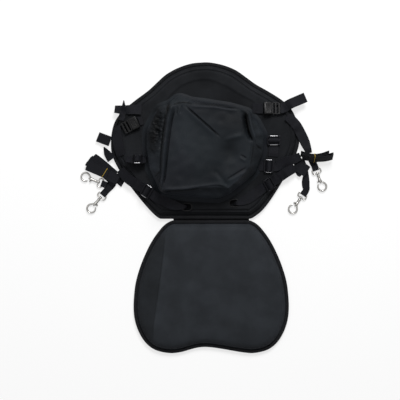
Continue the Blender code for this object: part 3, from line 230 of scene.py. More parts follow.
        (249.4, 45.4, 1.7, 8.2, 0.7, 0), (242.4, 35.6, 1.1, 6.7, -4.8, 0), (241.2, 34, 1.8, 6.7, -4.8, 0),
        (240.6, 33.1, 3.7, 6.7, -4.8, 0), (240.8, 33.4, 5.8, 6.7, -4.8, 0), (241.8, 34.7, 7.1, 6.7, -4.8, 0),
        (243, 36.5, 7.1, 6.7, -4.8, 0), (245.9, 40.5, 6.4, 6.7, -4.8, 0), (248.2, 43.8, 6.4, 6.7, -4.8, 0),
    ),
    "right_lower_strap": (
        (68, 12.4, 18.7, -0.2, 3.7, 0), (70.4, 12.5, 22.6, -0.5, 4.2, 0), (73.5, 13, 25.7, -1, 4.9, 0),
        (78.2, 14.1, 26.1, -1.8, 6.5, 0), (84.4, 16.1, 25.7, -3, 8.2, 0), (92.3, 19.2, 25.7, -4.5, 9.9, 0),
        (101.9, 24.1, 25.7, -6.4, 10.7, 0), (113.5, 32, 25.7, -7.3, 10.4, 0), (126, 41, 25.7, -7.3, 10.1, 0),
        (140.9, 52.4, 28.5, -5.8, 10.2, 4.1), (146.2, 55.9, 27.5, -5.8, 10.2, 4.1),
        (153, 57.7, 32.7, -5.8, 10.2, 4.1), (157.7, 60.7, 31.8, -5.8, 10.2, 4.1),
        (160.4, 65.1, 24.7, -5.8, 10.2, 4.1), (165.7, 68.5, 23.7, -5.8, 10.2, 4.1),
        (172, 72, 23.1, -7, 10.3, 7), (177.3, 75.6, 20.4, -7, 10.3, 6.7), (183, 79.5, 21.4, -7.2, 10.2, 5.3),
        (189.3, 84, 20.6, -7.1, 10.4, 5.1), (196.9, 89, 22.6, -6.4, 10.7, 2.6),
        (207.4, 94.8, 18.2, -5.7, 10.5, 1.6), (219, 101, 16.5, -5.3, 9.9, 2.9),
    ),
    "right_middle_strap": (
        (129, 106, 25.7, 1, 12.5, 0), (134, 105.6, 25.7, 1, 12.5, 0), (138.1, 105.7, 26, 0.7, 12.5, 0),
        (144.5, 105.4, 26, 0.7, 12.5, 0), (150.3, 105, 32.6, 0.7, 12.5, 0), (155.9, 104.8, 32.6, 0.7, 12.5, 0),
        (161.7, 104.4, 26, 0.7, 12.5, 0), (168.1, 104.1, 26, 0.7, 12.5, 0),
        (176, 106.4, 26.7, -5.5, 11.2, 2.1), (184.8, 110.7, 25.7, -5.3, 11.4, 4.7),
        (194.4, 115, 22, -4.6, 11.6, 7), (207.5, 119.6, 17.9, -4, 11.3, 3.8), (220, 124, 12.1, -4, 10.5, 0.8),
        (227.8, 127.3, 12.1, -4.3, 9.7, 2), (234.1, 130.2, 10.9, -4.2, 9.1, 2.9),
    ),
    "right_strap_tail": (
        (181.2, 248.1, 26.7, -1.2, 12.4, -6.1), (183.3, 248.3, 27, -2.5, 12.3, -6.7),
        (186.2, 249.1, 26.7, -4.8, 11.5, -5.3), (191, 251.5, 23.1, -5.8, 11.1, -3.2),
        (197, 254.8, 16.3, -6.2, 10.9, 0), (202.5, 258, 18.4, -6, 11, 0), (211, 262.4, 21.6, -5.3, 11.3, -1.5),
        (227.2, 269.5, 18, -5, 11.5, -1.2), (246.1, 277.6, 17.7, -4.9, 11.5, 0),
    ),
    "right_upper_hook_strap": (
        (264.5, 123.5, 1.7, 9.7, 2.5, 0), (265.8, 118.4, 1.7, 9.4, 2.5, 0), (267, 114, 1.7, 8.9, 2.8, 0),
        (268, 111.4, 1.7, 8.1, 3.4, 0), (269, 109.4, 1.7, 7.5, 3.5, 0), (273.1, 98.1, 1.1, 7.7, 2.8, 0),
        (273.8, 96.2, 1.8, 7.7, 2.8, 0), (274.2, 95.2, 3.7, 7.7, 2.8, 0), (274, 95.6, 5.8, 7.7, 2.8, 0),
        (273.5, 97.1, 7.1, 7.7, 2.8, 0), (272.7, 99.1, 7.1, 7.7, 2.8, 0), (271, 103.7, 6.4, 7.7, 2.8, 0),
        (269.6, 107.5, 6.4, 7.7, 2.8, 0),
    ),
    "right_wing_strap": (
        (198.1, 229, 25.2, 5.4, 8.4, -7.1), (205.1, 224.5, 22.2, 6.5, 9.4, -6.8),
        (211.9, 219.5, 19.3, 8.1, 9.5, -5.2), (218.2, 213.3, 17, 9.4, 8.4, -5.2),
        (224.4, 205.5, 16.3, 10.3, 7, -3.4), (230.9, 194.6, 12.8, 10.9, 6.1, -1.5),
        (236.9, 183.1, 12.7, 11.2, 5.6, -2.6), (241.7, 173, 12, 11.5, 5.2, -3.4),
        (245.6, 164, 11.5, 11.5, 4.8, -4.1), (248.5, 156.7, 12.1, 10.6, 4.1, -3.9),
        (251, 150, 13.6, 9.4, 3.5, -3.1), (253.2, 143.5, 12.6, 8.6, 3, -2.6), (255, 137.5, 10.8, 8, 2.6, -2),
    ),
}
# Two more folds of the left spare webbing, which show beside and below its tied bundle
BUNDLE_FOLDS = {
    "left_bundle_fold": (
        (-231, 84, 3, 6.5, 7.6, 0), (-246, 97, 3, 6.5, 7.6, 0), (-261, 110, 3.2, 6.6, 7.4, 0),
        (-275, 121.5, 3.4, 6.9, 7, 0), (-284, 128, 3.6, 7.2, 6.6, 0), (-286.4, 129.6, 4.4, 7.2, 6.6, 0),
        (-285.4, 128.6, 5.4, 7.2, 6.6, 0), (-275, 120, 5.6, 6.9, 7, 0), (-259, 106, 5.6, 6.6, 7.4, 0),
        (-246, 95, 5.6, 6.5, 7.6, 0),
    ),
    "left_bundle_end": (
        (-246, 93, 2.2, 4.4, 6, 0), (-238, 85.5, 2.2, 5.2, 7, 0), (-229, 77, 2.2, 6, 7.8, 0),
        (-220, 68.5, 2.2, 5.4, 8, 0), (-213.5, 62, 2.3, 4.6, 7.6, 0), (-212.6, 61, 3.2, 4.4, 7.4, 0),
        (-214, 62.4, 4.2, 4.4, 7.4, 0), (-220, 68.8, 4.4, 4.8, 7.8, 0),
    ),
}


def catmull_rom(points, steps, cyclic=False):
    """Smooth curve through the rows of points: a cubic between two rows that keeps the slope at each of them."""
    knots = np.asarray(points, float)
    if cyclic:
        knots = np.concatenate([knots[-1:], knots, knots[:2]])
    else:
        knots = np.concatenate([[2 * knots[0] - knots[1]], knots, [2 * knots[-1] - knots[-2]]])
    a, b, c, d = (knots[i:len(knots) - 3 + i, None] for i in range(4))
    t = (np.arange(steps) / steps)[None, :, None]
    curve = 0.5 * (2 * b + (c - a) * t + (2 * a - 5 * b + 4 * c - d) * t**2 + (3 * b - a - 3 * c + d) * t**3)
    curve = curve.reshape(-1, knots.shape[1])
    return curve if cyclic else np.concatenate([curve, knots[-2:-1]])


def closed_on(points):
    """A row of points with the first one once more at its end."""
    return np.concatenate([points, points[:1]])


def run_of(points):
    """The length of a polyline up to each of its points."""
    return np.concatenate([[0], np.cumsum(np.linalg.norm(np.diff(points, axis=0), axis=1))])


def unit(rows):
    """Rows of vectors, each brought to length 1."""
    return rows / np.linalg.norm(rows, axis=-1, keepdims=True)


def evenly(points, count, cyclic=False):
    """The same polyline with its points at equal steps of length."""
    line = closed_on(points) if cyclic else np.asarray(points)
    length = run_of(line)
    at = np.linspace(0, length[-1], count + 1)[:-1] if cyclic else np.linspace(0, length[-1], count)
    return np.stack([np.interp(at, length, line[:, axis]) for axis in range(line.shape[1])], axis=1)


def smoothed(values, passes):
    """A closed row of values, each replaced by the mean of itself and its neighbours, several times."""
    for _ in range(passes):
        values = (np.roll(values, 1, axis=0) + 2 * values + np.roll(values, -1, axis=0)) / 4
    return values


def inset(loop, distance):
    """A closed anticlockwise loop moved inwards along its normals."""
    along = unit(np.roll(loop, -1, axis=0) - np.roll(loop, 1, axis=0))
    return loop + distance * np.stack([-along[:, 1], along[:, 0]], axis=1)


def waves(places, size, seed, terms=20):
    """A smooth random field of about unit height: the sum of plane waves of random direction and phase."""
    rng = np.random.default_rng(seed)
    turn = rng.uniform(0, 2 * pi, terms)
    rate = 2 * pi / size * rng.uniform(0.6, 1.5, terms)
    phase = rng.uniform(0, 2 * pi, terms)
    flat = places[..., 0, None] * np.cos(turn) * rate + places[..., 1, None] * np.sin(turn) * rate + phase
    return np.sin(flat).sum(-1) / np.sqrt(terms / 2)


def beside(places, path):
    """Signed distance from a polyline, positive on its left, and the share of its length at the nearest point."""
    path = np.asarray(path, float)
    run = np.diff(path, axis=0)
    length = np.linalg.norm(run, axis=1)
    start = np.concatenate([[0], np.cumsum(length)])
    offset = places[..., None, :] - path[:-1]
    share = np.clip((offset * run).sum(-1) / length**2, 0, 1)
    away = offset - share[..., None] * run
    distance = np.linalg.norm(away, axis=-1)
    best = distance.argmin(axis=-1)[..., None]
    side = np.sign(run[:, 0] * offset[..., 1] - run[:, 1] * offset[..., 0])
    signed = np.take_along_axis(distance * side, best, -1)[..., 0]
    along = np.take_along_axis(start[:-1] + share * length, best, -1)[..., 0]
    return signed, along / start[-1]


def ridge(places, path, height, left, right, ends=0.25):
    """A fold along a path: a bell across it with its own width on each side, which fades towards both ends."""
    signed, share = beside(places, path)
    width = np.where(signed > 0, left, right)
    fade = np.clip(np.minimum(share, 1 - share) / ends, 0, 1) if ends else 1.0
    return height * fade * fade * (3 - 2 * fade if ends else 1.0) * np.exp(-((signed / width) ** 2))


def grid(points, wrap=(False, False), uv=None):
    """Quads between neighbouring points of a grid. A wrapped direction joins its last row to its first."""
    rows, columns = points.shape[:2]
    i, j = np.meshgrid(
        np.arange(rows if wrap[0] else rows - 1), np.arange(columns if wrap[1] else columns - 1), indexing="ij"
    )
    corners = [(i, j), (i, j + 1), (i + 1, j + 1), (i + 1, j)]
    quads = np.stack([a % rows * columns + b % columns for a, b in corners], -1).reshape(-1, 4)
    if uv is None:
        uv = (np.arange(rows + 1) / rows, np.arange(columns + 1) / columns)
    flat = np.stack([np.stack([uv[0][a], uv[1][b]], -1) for a, b in corners], -2).reshape(-1, 4, 2)
    return points.reshape(-1, 3), quads, flat


def together(*shapes):
    """Several shapes as one, which stay separate shells."""
    first = np.cumsum([0] + [len(points) for points, _, _ in shapes])
    return (
        np.concatenate([points for points, _, _ in shapes]),
        np.concatenate([quads + start for (_, quads, _), start in zip(shapes, first)]),
        np.concatenate([uv for _, _, uv in shapes]),
    )


def stacked(rows):
    """Rows of (loop, height) as an array of places and an array of heights."""
    return np.stack([loop for loop, _ in rows]), np.stack([np.full(len(loop), height) for loop, height in rows])


def placed(shape, matrix):
    """A shape moved by a matrix."""
    points, quads, uv = shape
    turn = np.array(matrix)
    return points @ turn[:3, :3].T + turn[:3, 3], quads, uv


def piece(name, shape, material, body, nodes=(), crease=50):
    """A finished piece from a shape: doubles merged, faces outwards, riding on its body.

    Edges that are sharper than the crease, in degrees, stay sharp."""
    points, quads, uv = shape
    mesh = bpy.data.meshes.new(name)
    mesh.from_pydata(points, [], quads.tolist())
    layer = mesh.uv_layers.new(name="along")
    layer.data.foreach_set("uv", uv.astype(np.float32).ravel())
    tidy = bmesh.new()
    tidy.from_mesh(mesh)
    bmesh.ops.remove_doubles(tidy, verts=tidy.verts, dist=2e-6)
    bmesh.ops.dissolve_degenerate(tidy, edges=tidy.edges, dist=1e-7)
    bmesh.ops.recalc_face_normals(tidy, faces=tidy.faces)
    tidy.to_mesh(mesh)
    tidy.free()
    mesh.shade_smooth()
    mesh.set_sharp_from_angle(angle=radians(crease))
    mesh.materials.append(material)
    obj = bpy.data.objects.new(name, mesh)
    bpy.context.scene.collection.objects.link(obj)
    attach(obj, body)
    if nodes:
        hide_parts(*nodes)
    return obj


def corners_of(obj, what="co"):
    """The places, or the normals, of a piece's mesh points, as rows of three numbers."""
    flat = np.empty(len(obj.data.vertices) * 3)
    obj.data.vertices.foreach_get(what, flat)
    return flat.reshape(-1, 3)


def paint(obj, name, amounts):
    """Keeps a number for each point of a piece, for its finish to read."""
    obj.data.attributes.new(name, "FLOAT", "POINT").data.foreach_set("value", amounts.astype(np.float32))


def drawn_together(points):
    """Rows of points round a run, with each end closed by a row in its middle."""
    first, last = (np.repeat(points[end].mean(axis=0)[None, None], points.shape[1], axis=1) for end in (0, -1))
    return np.concatenate([first, points, last])


def swept(path, side, up, profile, closed=False):
    """A profile of (aside, upwards) pairs carried along a path, whose side and up are vectors at each point."""
    points = path[:, None] + profile[None, :, :1] * side[:, None] + profile[None, :, 1:] * up[:, None]
    along = run_of(closed_on(path) if closed else path)
    if not closed:
        points = drawn_together(points)
        along = np.concatenate([along[:1], along, along[-1:], along[-1:]])
    return grid(points, (closed, True), (along, run_of(closed_on(profile))))


def crossed(path, closed=False):
    """Side and up vectors for a round section: square to the path, with the side level where that is possible."""
    ahead = unit(np.roll(path, -1, axis=0) - np.roll(path, 1, axis=0) if closed else np.gradient(path, axis=0))
    side = np.cross(ahead, UP)
    length = np.linalg.norm(side, axis=1)[:, None]
    side = np.where(length > 1e-3, side / np.maximum(length, 1e-9), (1.0, 0.0, 0.0))
    return side, np.cross(side, ahead)


def level(loop, z):
    """A loop of places as a path at one height."""
    return np.column_stack([loop, np.full(len(loop), z)])


def circle(radius, count):
    """A round profile."""
    turn = np.arange(count) / count * 2 * pi
    return radius * np.stack([np.cos(turn), np.sin(turn)], axis=1)


def turned(profile, steps=32):
    """A profile of x and radius turned about the X axis. It is closed where it starts and ends on the axis."""
    x, radius = np.asarray(profile, float).T
    turn = np.arange(steps) / steps * 2 * pi
    x, radius = x[:, None], radius[:, None]
    rows = np.stack([np.repeat(x, steps, 1), radius * np.cos(turn), radius * np.sin(turn)], axis=-1)
    return grid(rows, (False, True))


def rounded_rectangle(length, width, radius, corner_steps=6):
    """Corner arcs joined by straight runs, anticlockwise about the origin."""
    turn = (np.arange(4)[:, None] + np.arange(corner_steps + 1) / corner_steps) * pi / 2
    sx = np.array([1, -1, -1, 1])[:, None] * (length / 2 - radius)
    sy = np.array([1, 1, -1, -1])[:, None] * (width / 2 - radius)
    return np.stack([sx + radius * np.cos(turn), sy + radius * np.sin(turn)], axis=-1).reshape(-1, 2)


class Field:
    """A shader socket. Arithmetic on it adds Math nodes to its tree."""

    def __init__(self, tree, socket):
        self.tree = tree
        self.socket = socket

    def math(self, operation, *others):
        return self.tree.node("ShaderNodeMath", {"operation": operation}, dict(enumerate((self, *others))))

    def __add__(self, other):
        return self.math("ADD", other)

    def __sub__(self, other):
        return self.math("SUBTRACT", other)

    def __rsub__(self, other):
        return self.tree.node("ShaderNodeMath", {"operation": "SUBTRACT"}, {0: other, 1: self})

    def __mul__(self, other):
        return self.math("MULTIPLY", other)

    __radd__ = __add__
    __rmul__ = __mul__

    def wave(self, length):
        """A sine of this wavelength."""
        return (self * (2 * pi / length)).math("SINE")


class Tree:
    """A node tree and the one method that makes its nodes."""

    def __init__(self, tree):
        self.tree = tree

    def feed(self, socket, value):
        """Links a Field to a socket, or sets the socket to a constant."""
        if isinstance(value, Field):
            self.tree.links.new(value.socket, socket)
        else:
            socket.default_value = value

    def node(self, kind, settings=None, inputs=None, out=0):
        """Adds a node: its settings first, then the values or links of its sockets."""
        node = self.tree.nodes.new(kind)
        for key, value in (settings or {}).items():
            setattr(node, key, value)
        for key, value in (inputs or {}).items():
            self.feed(node.inputs[key], value)
        return Field(self, node.outputs[out])


class Finish(Tree):
    """A material with one Principled shader, and the nodes that vary it."""

    def __init__(self, name, colour, roughness, metallic=0.0, **constants):
        self.material = bpy.data.materials.new(name)
        self.material.use_nodes = True
        super().__init__(self.material.node_tree)
        self.shader = self.tree.nodes["Principled BSDF"]
        self.set("Base Color", (*colour, 1.0))
        self.set("Roughness", roughness)
        self.set("Metallic", metallic)
        for key, value in constants.items():
            self.set(key.replace("_", " "), value)

    def set(self, name, value):
        self.feed(self.shader.inputs[name], value)

    def place(self):
        return self.node("ShaderNodeTexCoord", out="Object")

    def along(self):
        """The piece's own run: metres along it and round it."""
        return self.node("ShaderNodeUVMap", {"uv_map": "along"})

    def painted(self, name):
        """A number that was kept for each point of the piece."""
        return self.node("ShaderNodeAttribute", {"attribute_name": name}, out=2)

    def split(self, vector):
        """The three numbers of a vector."""
        node = self.node("ShaderNodeSeparateXYZ", inputs={0: vector}).socket.node
        return [Field(self, output) for output in node.outputs]

    def noise(self, vector, scale, detail=3.0, roughness=0.5, distortion=0.0):
        return self.node("ShaderNodeTexNoise", inputs={
            "Vector": vector, "Scale": scale, "Detail": detail, "Roughness": roughness, "Distortion": distortion,
        })

    def blend(self, share, *colours):
        """A colour between two, which are colours or links."""
        first, second = (colour if isinstance(colour, Field) else (*colour, 1.0) for colour in colours)
        return self.node("ShaderNodeMix", {"data_type": "RGBA"}, {0: share, 6: first, 7: second}, out=2)

    def range(self, value, low, high, to_low=0.0, to_high=1.0):
        """A smooth step from one value to another."""
        return self.node("ShaderNodeMapRange", {"interpolation_type": "SMOOTHSTEP"}, {
            "Value": value, "From Min": low, "From Max": high, "To Min": to_low, "To Max": to_high,
        })

    def bump(self, height, distance, strength, under=None):
        """The normal of a surface with this relief, which may lie over another relief."""
        inputs = {"Strength": strength, "Distance": distance, "Height": height}
        if under is not None:
            inputs["Normal"] = under
        return self.node("ShaderNodeBump", inputs=inputs)


def cloth(name, colour, light, dark, roughness, pitch, crumple=0.0, specular=0.12, mottle=22.0):
    """Woven cloth: a plain weave, the product of two waves, and fibres as bump, with soft patches from handling.

    Its colour is scaled by the piece's own "shade": painted shade in its folds and hollows, painted light on edges
    and planes that face the light, and broad lighter and darker patches."""
    finish = Finish(name, colour, roughness, Specular_IOR_Level=specular)
    place = finish.place()
    x, y, z = finish.split(place)
    patches = finish.noise(place, mottle, 4.0, 0.55)
    specks = finish.noise(place, 1400.0, 2.0, 0.6)
    base = finish.blend(finish.range(patches, 0.35, 0.68), dark, light)
    base = finish.blend(finish.range(specks, 0.35, 0.75) * 0.35, base, colour)
    # Painted shade and light: the colour is scaled by the number kept for each point of the piece
    shade = finish.painted("shade")
    finish.set("Base Color", finish.node("ShaderNodeVectorMath", {"operation": "SCALE"}, {0: base, "Scale": shade}))
    finish.set("Roughness", patches * 0.12 + (roughness - 0.06))
    weave = (x + z * 0.7).wave(pitch) * (y + z * 0.7).wave(pitch)
    fibres = finish.noise(place, 900.0, 3.0, 0.7)
    normal = finish.bump(weave * 0.5 + fibres * 0.6, 0.00012, 0.55)
    if crumple:
        normal = finish.bump(finish.noise(place, 38.0, 5.0, 0.62, 0.8), crumple, 0.6, normal)
    finish.set("Normal", normal)
    return finish.material


def tape(name, colour, roughness, rib, cross_rib):
    """Woven strap or tape: ribs across and along the piece's own run, with pale worn patches and fine threads."""
    finish = Finish(name, colour, roughness, Specular_IOR_Level=0.12)
    run, side, _ = finish.split(finish.along())
    place = finish.place()
    ribs = run.wave(rib)
    patches = finish.noise(place, 60.0, 4.0, 0.6)
    threads = finish.noise(place, 1500.0, 2.0, 0.6)
    pale = tuple(c * 2.1 + 0.002 for c in colour)
    finish.set("Base Color", finish.blend(finish.range(patches, 0.4, 0.75) * 0.5 + threads * 0.18, colour, pale))
    finish.set("Roughness", patches * 0.15 + (roughness - 0.08))
    relief = ribs * side.wave(cross_rib) * 0.6 + ribs * 0.4 + threads * 0.5
    finish.set("Normal", finish.bump(relief, 0.00022, 0.7))
    return finish.material


def plastic(name, colour, roughness):
    """Moulded plastic: a fine spark-eroded grain, with slight scuffs that change the gloss."""
    finish = Finish(name, colour, roughness, Specular_IOR_Level=0.12)
    place = finish.place()
    scuffs = finish.noise(place, 180.0, 5.0, 0.7, 0.6)
    pale = tuple(c * 1.8 for c in colour)
    finish.set("Roughness", finish.range(scuffs, 0.45, 0.75, roughness - 0.06, roughness + 0.18))
    finish.set("Base Color", finish.blend(finish.range(scuffs, 0.5, 0.8) * 0.4, colour, pale))
    finish.set("Normal", finish.bump(finish.noise(place, 2500.0, 2.0, 0.6), 0.00004, 0.4))
    return finish.material


def plated(name, colour, flank_shade, roughness):
    """Plated metal: bright on top, darkened on its flanks and in its grooves by a painted reflection of dark
    surroundings, read from the number kept for each point of the piece.
    """
    finish = Finish(name, colour, roughness, 1.0)
    place = finish.place()
    marks = finish.noise(place, 420.0, 4.0, 0.65, 0.4)
    finish.set("Roughness", finish.range(marks, 0.4, 0.72, roughness - 0.07, roughness + 0.14))
    shade_share = finish.range(finish.painted("flank_shade") + marks * 0.08, 0.08, 0.50)
    finish.set("Base Color", finish.blend(shade_share, colour, flank_shade))
    finish.set("Normal", finish.bump(finish.noise(place, 260.0, 3.0, 0.5), 0.00009, 0.35))
    return finish.material


def glinting_metal(name, coat, glint, roughness):
    """Black coated metal with painted glints of bright metal where the number kept for each point of the piece says
    so, with a ragged border.
    """
    finish = Finish(name, coat, roughness, 1.0)
    grain = finish.noise(finish.place(), 700.0, 4.0, 0.7)
    share = finish.range(finish.painted("painted_glint") + grain * 0.5, 0.55, 0.95)
    finish.set("Base Color", finish.blend(share, coat, glint))
    finish.set("Roughness", grain * 0.2 + (roughness - 0.05))
    finish.set("Normal", finish.bump(grain, 0.00006, 0.4))
    return finish.material


# Cloths: the colour of their specks, a light and a dark tone, roughness and the pitch of the weave
SEAT_CLOTH = cloth(
    "seat_cloth", (0.0168, 0.0192, 0.0228), (0.0200, 0.0228, 0.0268), (0.0140, 0.0160, 0.0190), 0.80, 0.0009
)
BACK_CLOTH = cloth(
    "back_cloth", (0.0060, 0.0066, 0.0077), (0.0084, 0.0091, 0.0105), (0.0042, 0.0047, 0.0057), 0.82, 0.0009,
    specular=0.09,
)
BAG_NYLON = cloth(
    "bag_nylon", (0.0092, 0.0109, 0.0134), (0.0098, 0.0122, 0.0146), (0.0082, 0.0092, 0.0116), 0.50, 0.0006,
    crumple=0.0003, specular=0.06, mottle=9.0,
)
BINDING = tape("edge_binding", (0.0046, 0.0049, 0.0058), 0.80, 0.0011, 0.00143)
STRAP = tape("strap_webbing", (0.0022, 0.0024, 0.0038), 0.74, 0.0018, 0.0021)
THREAD = tape("sewing_thread", (0.0105, 0.0108, 0.0120), 0.6, 0.0006, 0.00078)
BUCKLE = plastic("buckle_black", (0.0022, 0.0022, 0.0026), 0.42)
# The slides' second colour is the bright metal of their painted glints
SLIDE = glinting_metal("slide_coated", (0.012, 0.012, 0.014), (0.30, 0.30, 0.31), 0.36)
# The nickel's second colour is a painted dark reflection on the hooks' flanks
NICKEL = plated("nickel", (0.36, 0.352, 0.335), (0.030, 0.029, 0.028), 0.28)
ELASTIC = plastic("yellow_elastic", (0.42, 0.29, 0.05), 0.5)


AROUND = 480


def back_outline():
    """The back pad's edge: one half mirrored, turned a little on the seam and cut off straight there."""
    half = np.array(BACK_HALF_SHAPE)
    right = np.column_stack([half[:, 1] * BACK_WIDTH / 2, half[:, 0] * BACK_HEIGHT])
    loop = catmull_rom(np.concatenate([right, right[1:-1][::-1] * (-1, 1)]), 12, cyclic=True)
    turn = np.array([[cos(BACK_TURN), sin(BACK_TURN)], [-sin(BACK_TURN), cos(BACK_TURN)]])
    loop = loop @ turn + (BACK_AXIS_X, SEAM_Y)
    loop[:, 1] = np.maximum(loop[:, 1], SEAM_Y + SEAM_ROLL)
    return smoothed(evenly(loop, AROUND, cyclic=True), 3)


def seat_outline():
    """The seat pad's edge: one half mirrored, with a shallow notch in its front edge."""
    half = np.array(SEAT_HALF_SHAPE)
    right = np.column_stack([half[:, 1] * SEAT_WIDTH / 2, -half[:, 0] * SEAT_LENGTH])
    notch = np.array([[SEAT_NOTCH[0], -SEAT_NOTCH[1] * SEAT_LENGTH]])
    loop = catmull_rom(np.concatenate([right, notch, right[1:][::-1] * (-1, 1)])[::-1], 12, cyclic=True)
    loop = loop + (SEAT_AXIS_X, SEAM_Y)
    loop[:, 1] = np.minimum(loop[:, 1], SEAM_Y - SEAM_ROLL)
    return smoothed(evenly(loop, AROUND, cyclic=True), 3)


BACK_EDGE = back_outline()
SEAT_EDGE = seat_outline()
RIM_EDGE = 0.0015
RIM_TOP = TAPE_LOW + TAPE_THICKNESS - RIM_EDGE
RIM_LOW = TAPE_LOW + RIM_EDGE
BORDER = 0.030
FACE_ROWS = 66
BORDER_SEAM = 0.0150
SLOT_ROUND = 0.49
SLOT_RIM = 0.0022
STITCH_LENGTH = 0.0026
STITCH_RADIUS = 0.00034


def pad_rows(edge, thickness, border):
    """A pad's surface as rings of places with heights, and the number of the first ring of its rear side.

    They run from the middle of the front face outwards, round the rim, over the border and to the rear's middle."""
    rim = (0.0015, 0.003, 0.0052, 0.0076, 0.0084)
    under = ((0.0200, 0.0), (0.0170, 0.0), (0.0145, 0.0005), (0.0120, 0.0016), (0.0098, 0.0032))
    low = smoothed(inset(edge, under[0][0]), 4)
    face = smoothed(inset(edge, BORDER), 12)
    front_middle, rear_middle = low.mean(axis=0), face.mean(axis=0)
    rows = [(front_middle + share * (low - front_middle), 0.0) for share in (0.0, 0.2, 0.4, 0.6, 0.8, 0.95)]
    rows += [(inset(edge, distance), height) for distance, height in under]
    rows += [(inset(edge, distance), RIM_LOW) for distance in rim[::-1]]
    rear = len(rows)
    rows += [(inset(edge, distance), RIM_TOP) for distance in rim]
    for distance in np.arange(0.0092, BORDER, 0.0011):
        rows.append((smoothed(inset(edge, distance), 2), np.interp(distance, *border)))
    for share in np.linspace(0.985, 0.0, FACE_ROWS):
        rows.append((rear_middle + share * (face - rear_middle), thickness))
    return *stacked(rows), rear


def pad(name, edge, thickness, border, relief, material, body, nodes):
    """A foam board in cloth. The relief adds to its rear side's height, by place and distance from the edge."""
    places, height, rear = pad_rows(edge, thickness, border)
    away = np.abs(beside(places[rear:], closed_on(edge))[0])
    height[rear:] += relief(places[rear:], away)
    shape = grid(np.dstack([places, height]), (False, True))
    obj = piece(name, shape, material, body, nodes, crease=70)
    return obj


def puckers(places, away, spacing, height, seed):
    """Small dimples beside a row of stitches: waves round the pad that fade within a few millimetres of the row."""
    angle = np.arctan2(places[..., 1] - 0.1, places[..., 0])
    wave = np.sin(angle * 0.2 * 2 * pi / spacing + 2 * waves(places, 0.05, seed, 8))
    return height * wave * np.exp(-(((away - BORDER_SEAM) / 0.0035) ** 2))


PHOTO_ORIGIN = (207.25, 208.25)
PIXEL = 0.0025


def photo(*pixels):
    """Places in the photograph's pixels as metres on the floor."""
    return (np.array(pixels) - PHOTO_ORIGIN) * (PIXEL, -PIXEL)


# Height of each pad's rear side over its border: distances from the edge, and the height at each of them
SEAT_BORDER = (
    (0.0, 0.0086, 0.0102, 0.0112, 0.0122, 0.0134, 0.0146, 0.0160, 0.0185, 0.0215, 0.0250, 0.0300),
    (RIM_TOP, RIM_TOP, 0.0100, 0.0132, 0.0170, 0.0190, 0.0190, 0.0206, 0.0228, 0.0243, 0.0254, 0.0260),
)
BACK_BORDER = (
    (0.0, 0.0086, 0.0104, 0.0118, 0.0134, 0.0150, 0.0166, 0.0180, 0.0194, 0.0210, 0.0224, 0.0240, 0.0260, 0.0300),
    (
        RIM_TOP, RIM_TOP, 0.0104, 0.0136, 0.0162, 0.0166, 0.0190, 0.0206, 0.0204, 0.0190, 0.0204, 0.0226, 0.0236,
        0.0240,
    ),
)
SEAT_CREASE = photo((165.8, 232.8), (161.4, 270.7), (157.0, 302.0), (153.3, 327.0), (153.3, 343.0))


def seat_relief(places, away):
    """Crown, broad hollows of used foam, the long crease on the left and puckers along the border's seam."""
    rise = SEAT_CROWN * np.clip((away - 0.03) / 0.09, 0, 1) ** 0.6
    total = rise + 0.0007 * waves(places, 0.16, 3) * np.clip((away - 0.02) / 0.05, 0, 1)
    total += ridge(places, SEAT_CREASE, 0.0016, 0.014, 0.004, 0.15)
    total += ridge(places, SEAT_CREASE - (0.0015, 0.0), -0.0012, 0.0025, 0.0025, 0.15)
    return total + puckers(places, away, 0.009, 0.0005, 5)


def in_recess(places):
    """Distance inwards from the edge of the sunk panel behind the bag, and 1 inside it that fades to 0 outside."""
    recess = evenly(catmull_rom(RECESS_OUTLINE[::-1], 12, cyclic=True), 160, cyclic=True)
    signed = beside(places, closed_on(recess))[0]
    return signed, np.clip(signed / 0.004 + 0.5, 0, 1)


def back_relief(places, away):
    """The sunk panel behind the bag, soft hollows and puckers along the seams."""
    signed, inside = in_recess(places)
    total = -RECESS_DEPTH * inside
    total += 0.0006 * np.exp(-((signed / 0.003) ** 2))
    total += 0.0005 * waves(places, 0.12, 11) * np.clip((away - 0.02) / 0.05, 0, 1)
    return total + puckers(places, away, 0.010, 0.0004, 7)


def seat_shade(places):
    """Darker left of the long crease, with a fine line of painted shade in it, painted light on the rise beside it,
    and a few broad lighter and darker bands.
    """
    signed, share = beside(places, SEAT_CREASE)
    total = 1 - 0.34 * np.clip(-signed / 0.003 + 0.5, 0, 1) * np.clip(np.minimum(share, 1 - share) / 0.06, 0, 1)
    total += ridge(places, SEAT_CREASE, -0.30, 0.0016, 0.0016, 0.15)
    total += ridge(places, SEAT_CREASE, 0.12, 0.012, 0.0001, 0.15)
    bands = np.sin(places[:, 0] * 2 * pi / 0.062 + 0.8) * 0.5 + waves(places, 0.11, 31, 12) * 0.5
    return np.clip(total + 0.07 * bands, 0.2, 1.5)


def back_shade(places):
    """Darker in the sunk panel behind the bag, with soft lighter and darker patches all over."""
    total = 1.08 - 0.20 * in_recess(places)[1]
    return np.clip(total + 0.10 * waves(places, 0.12, 33, 14), 0.2, 1.5)


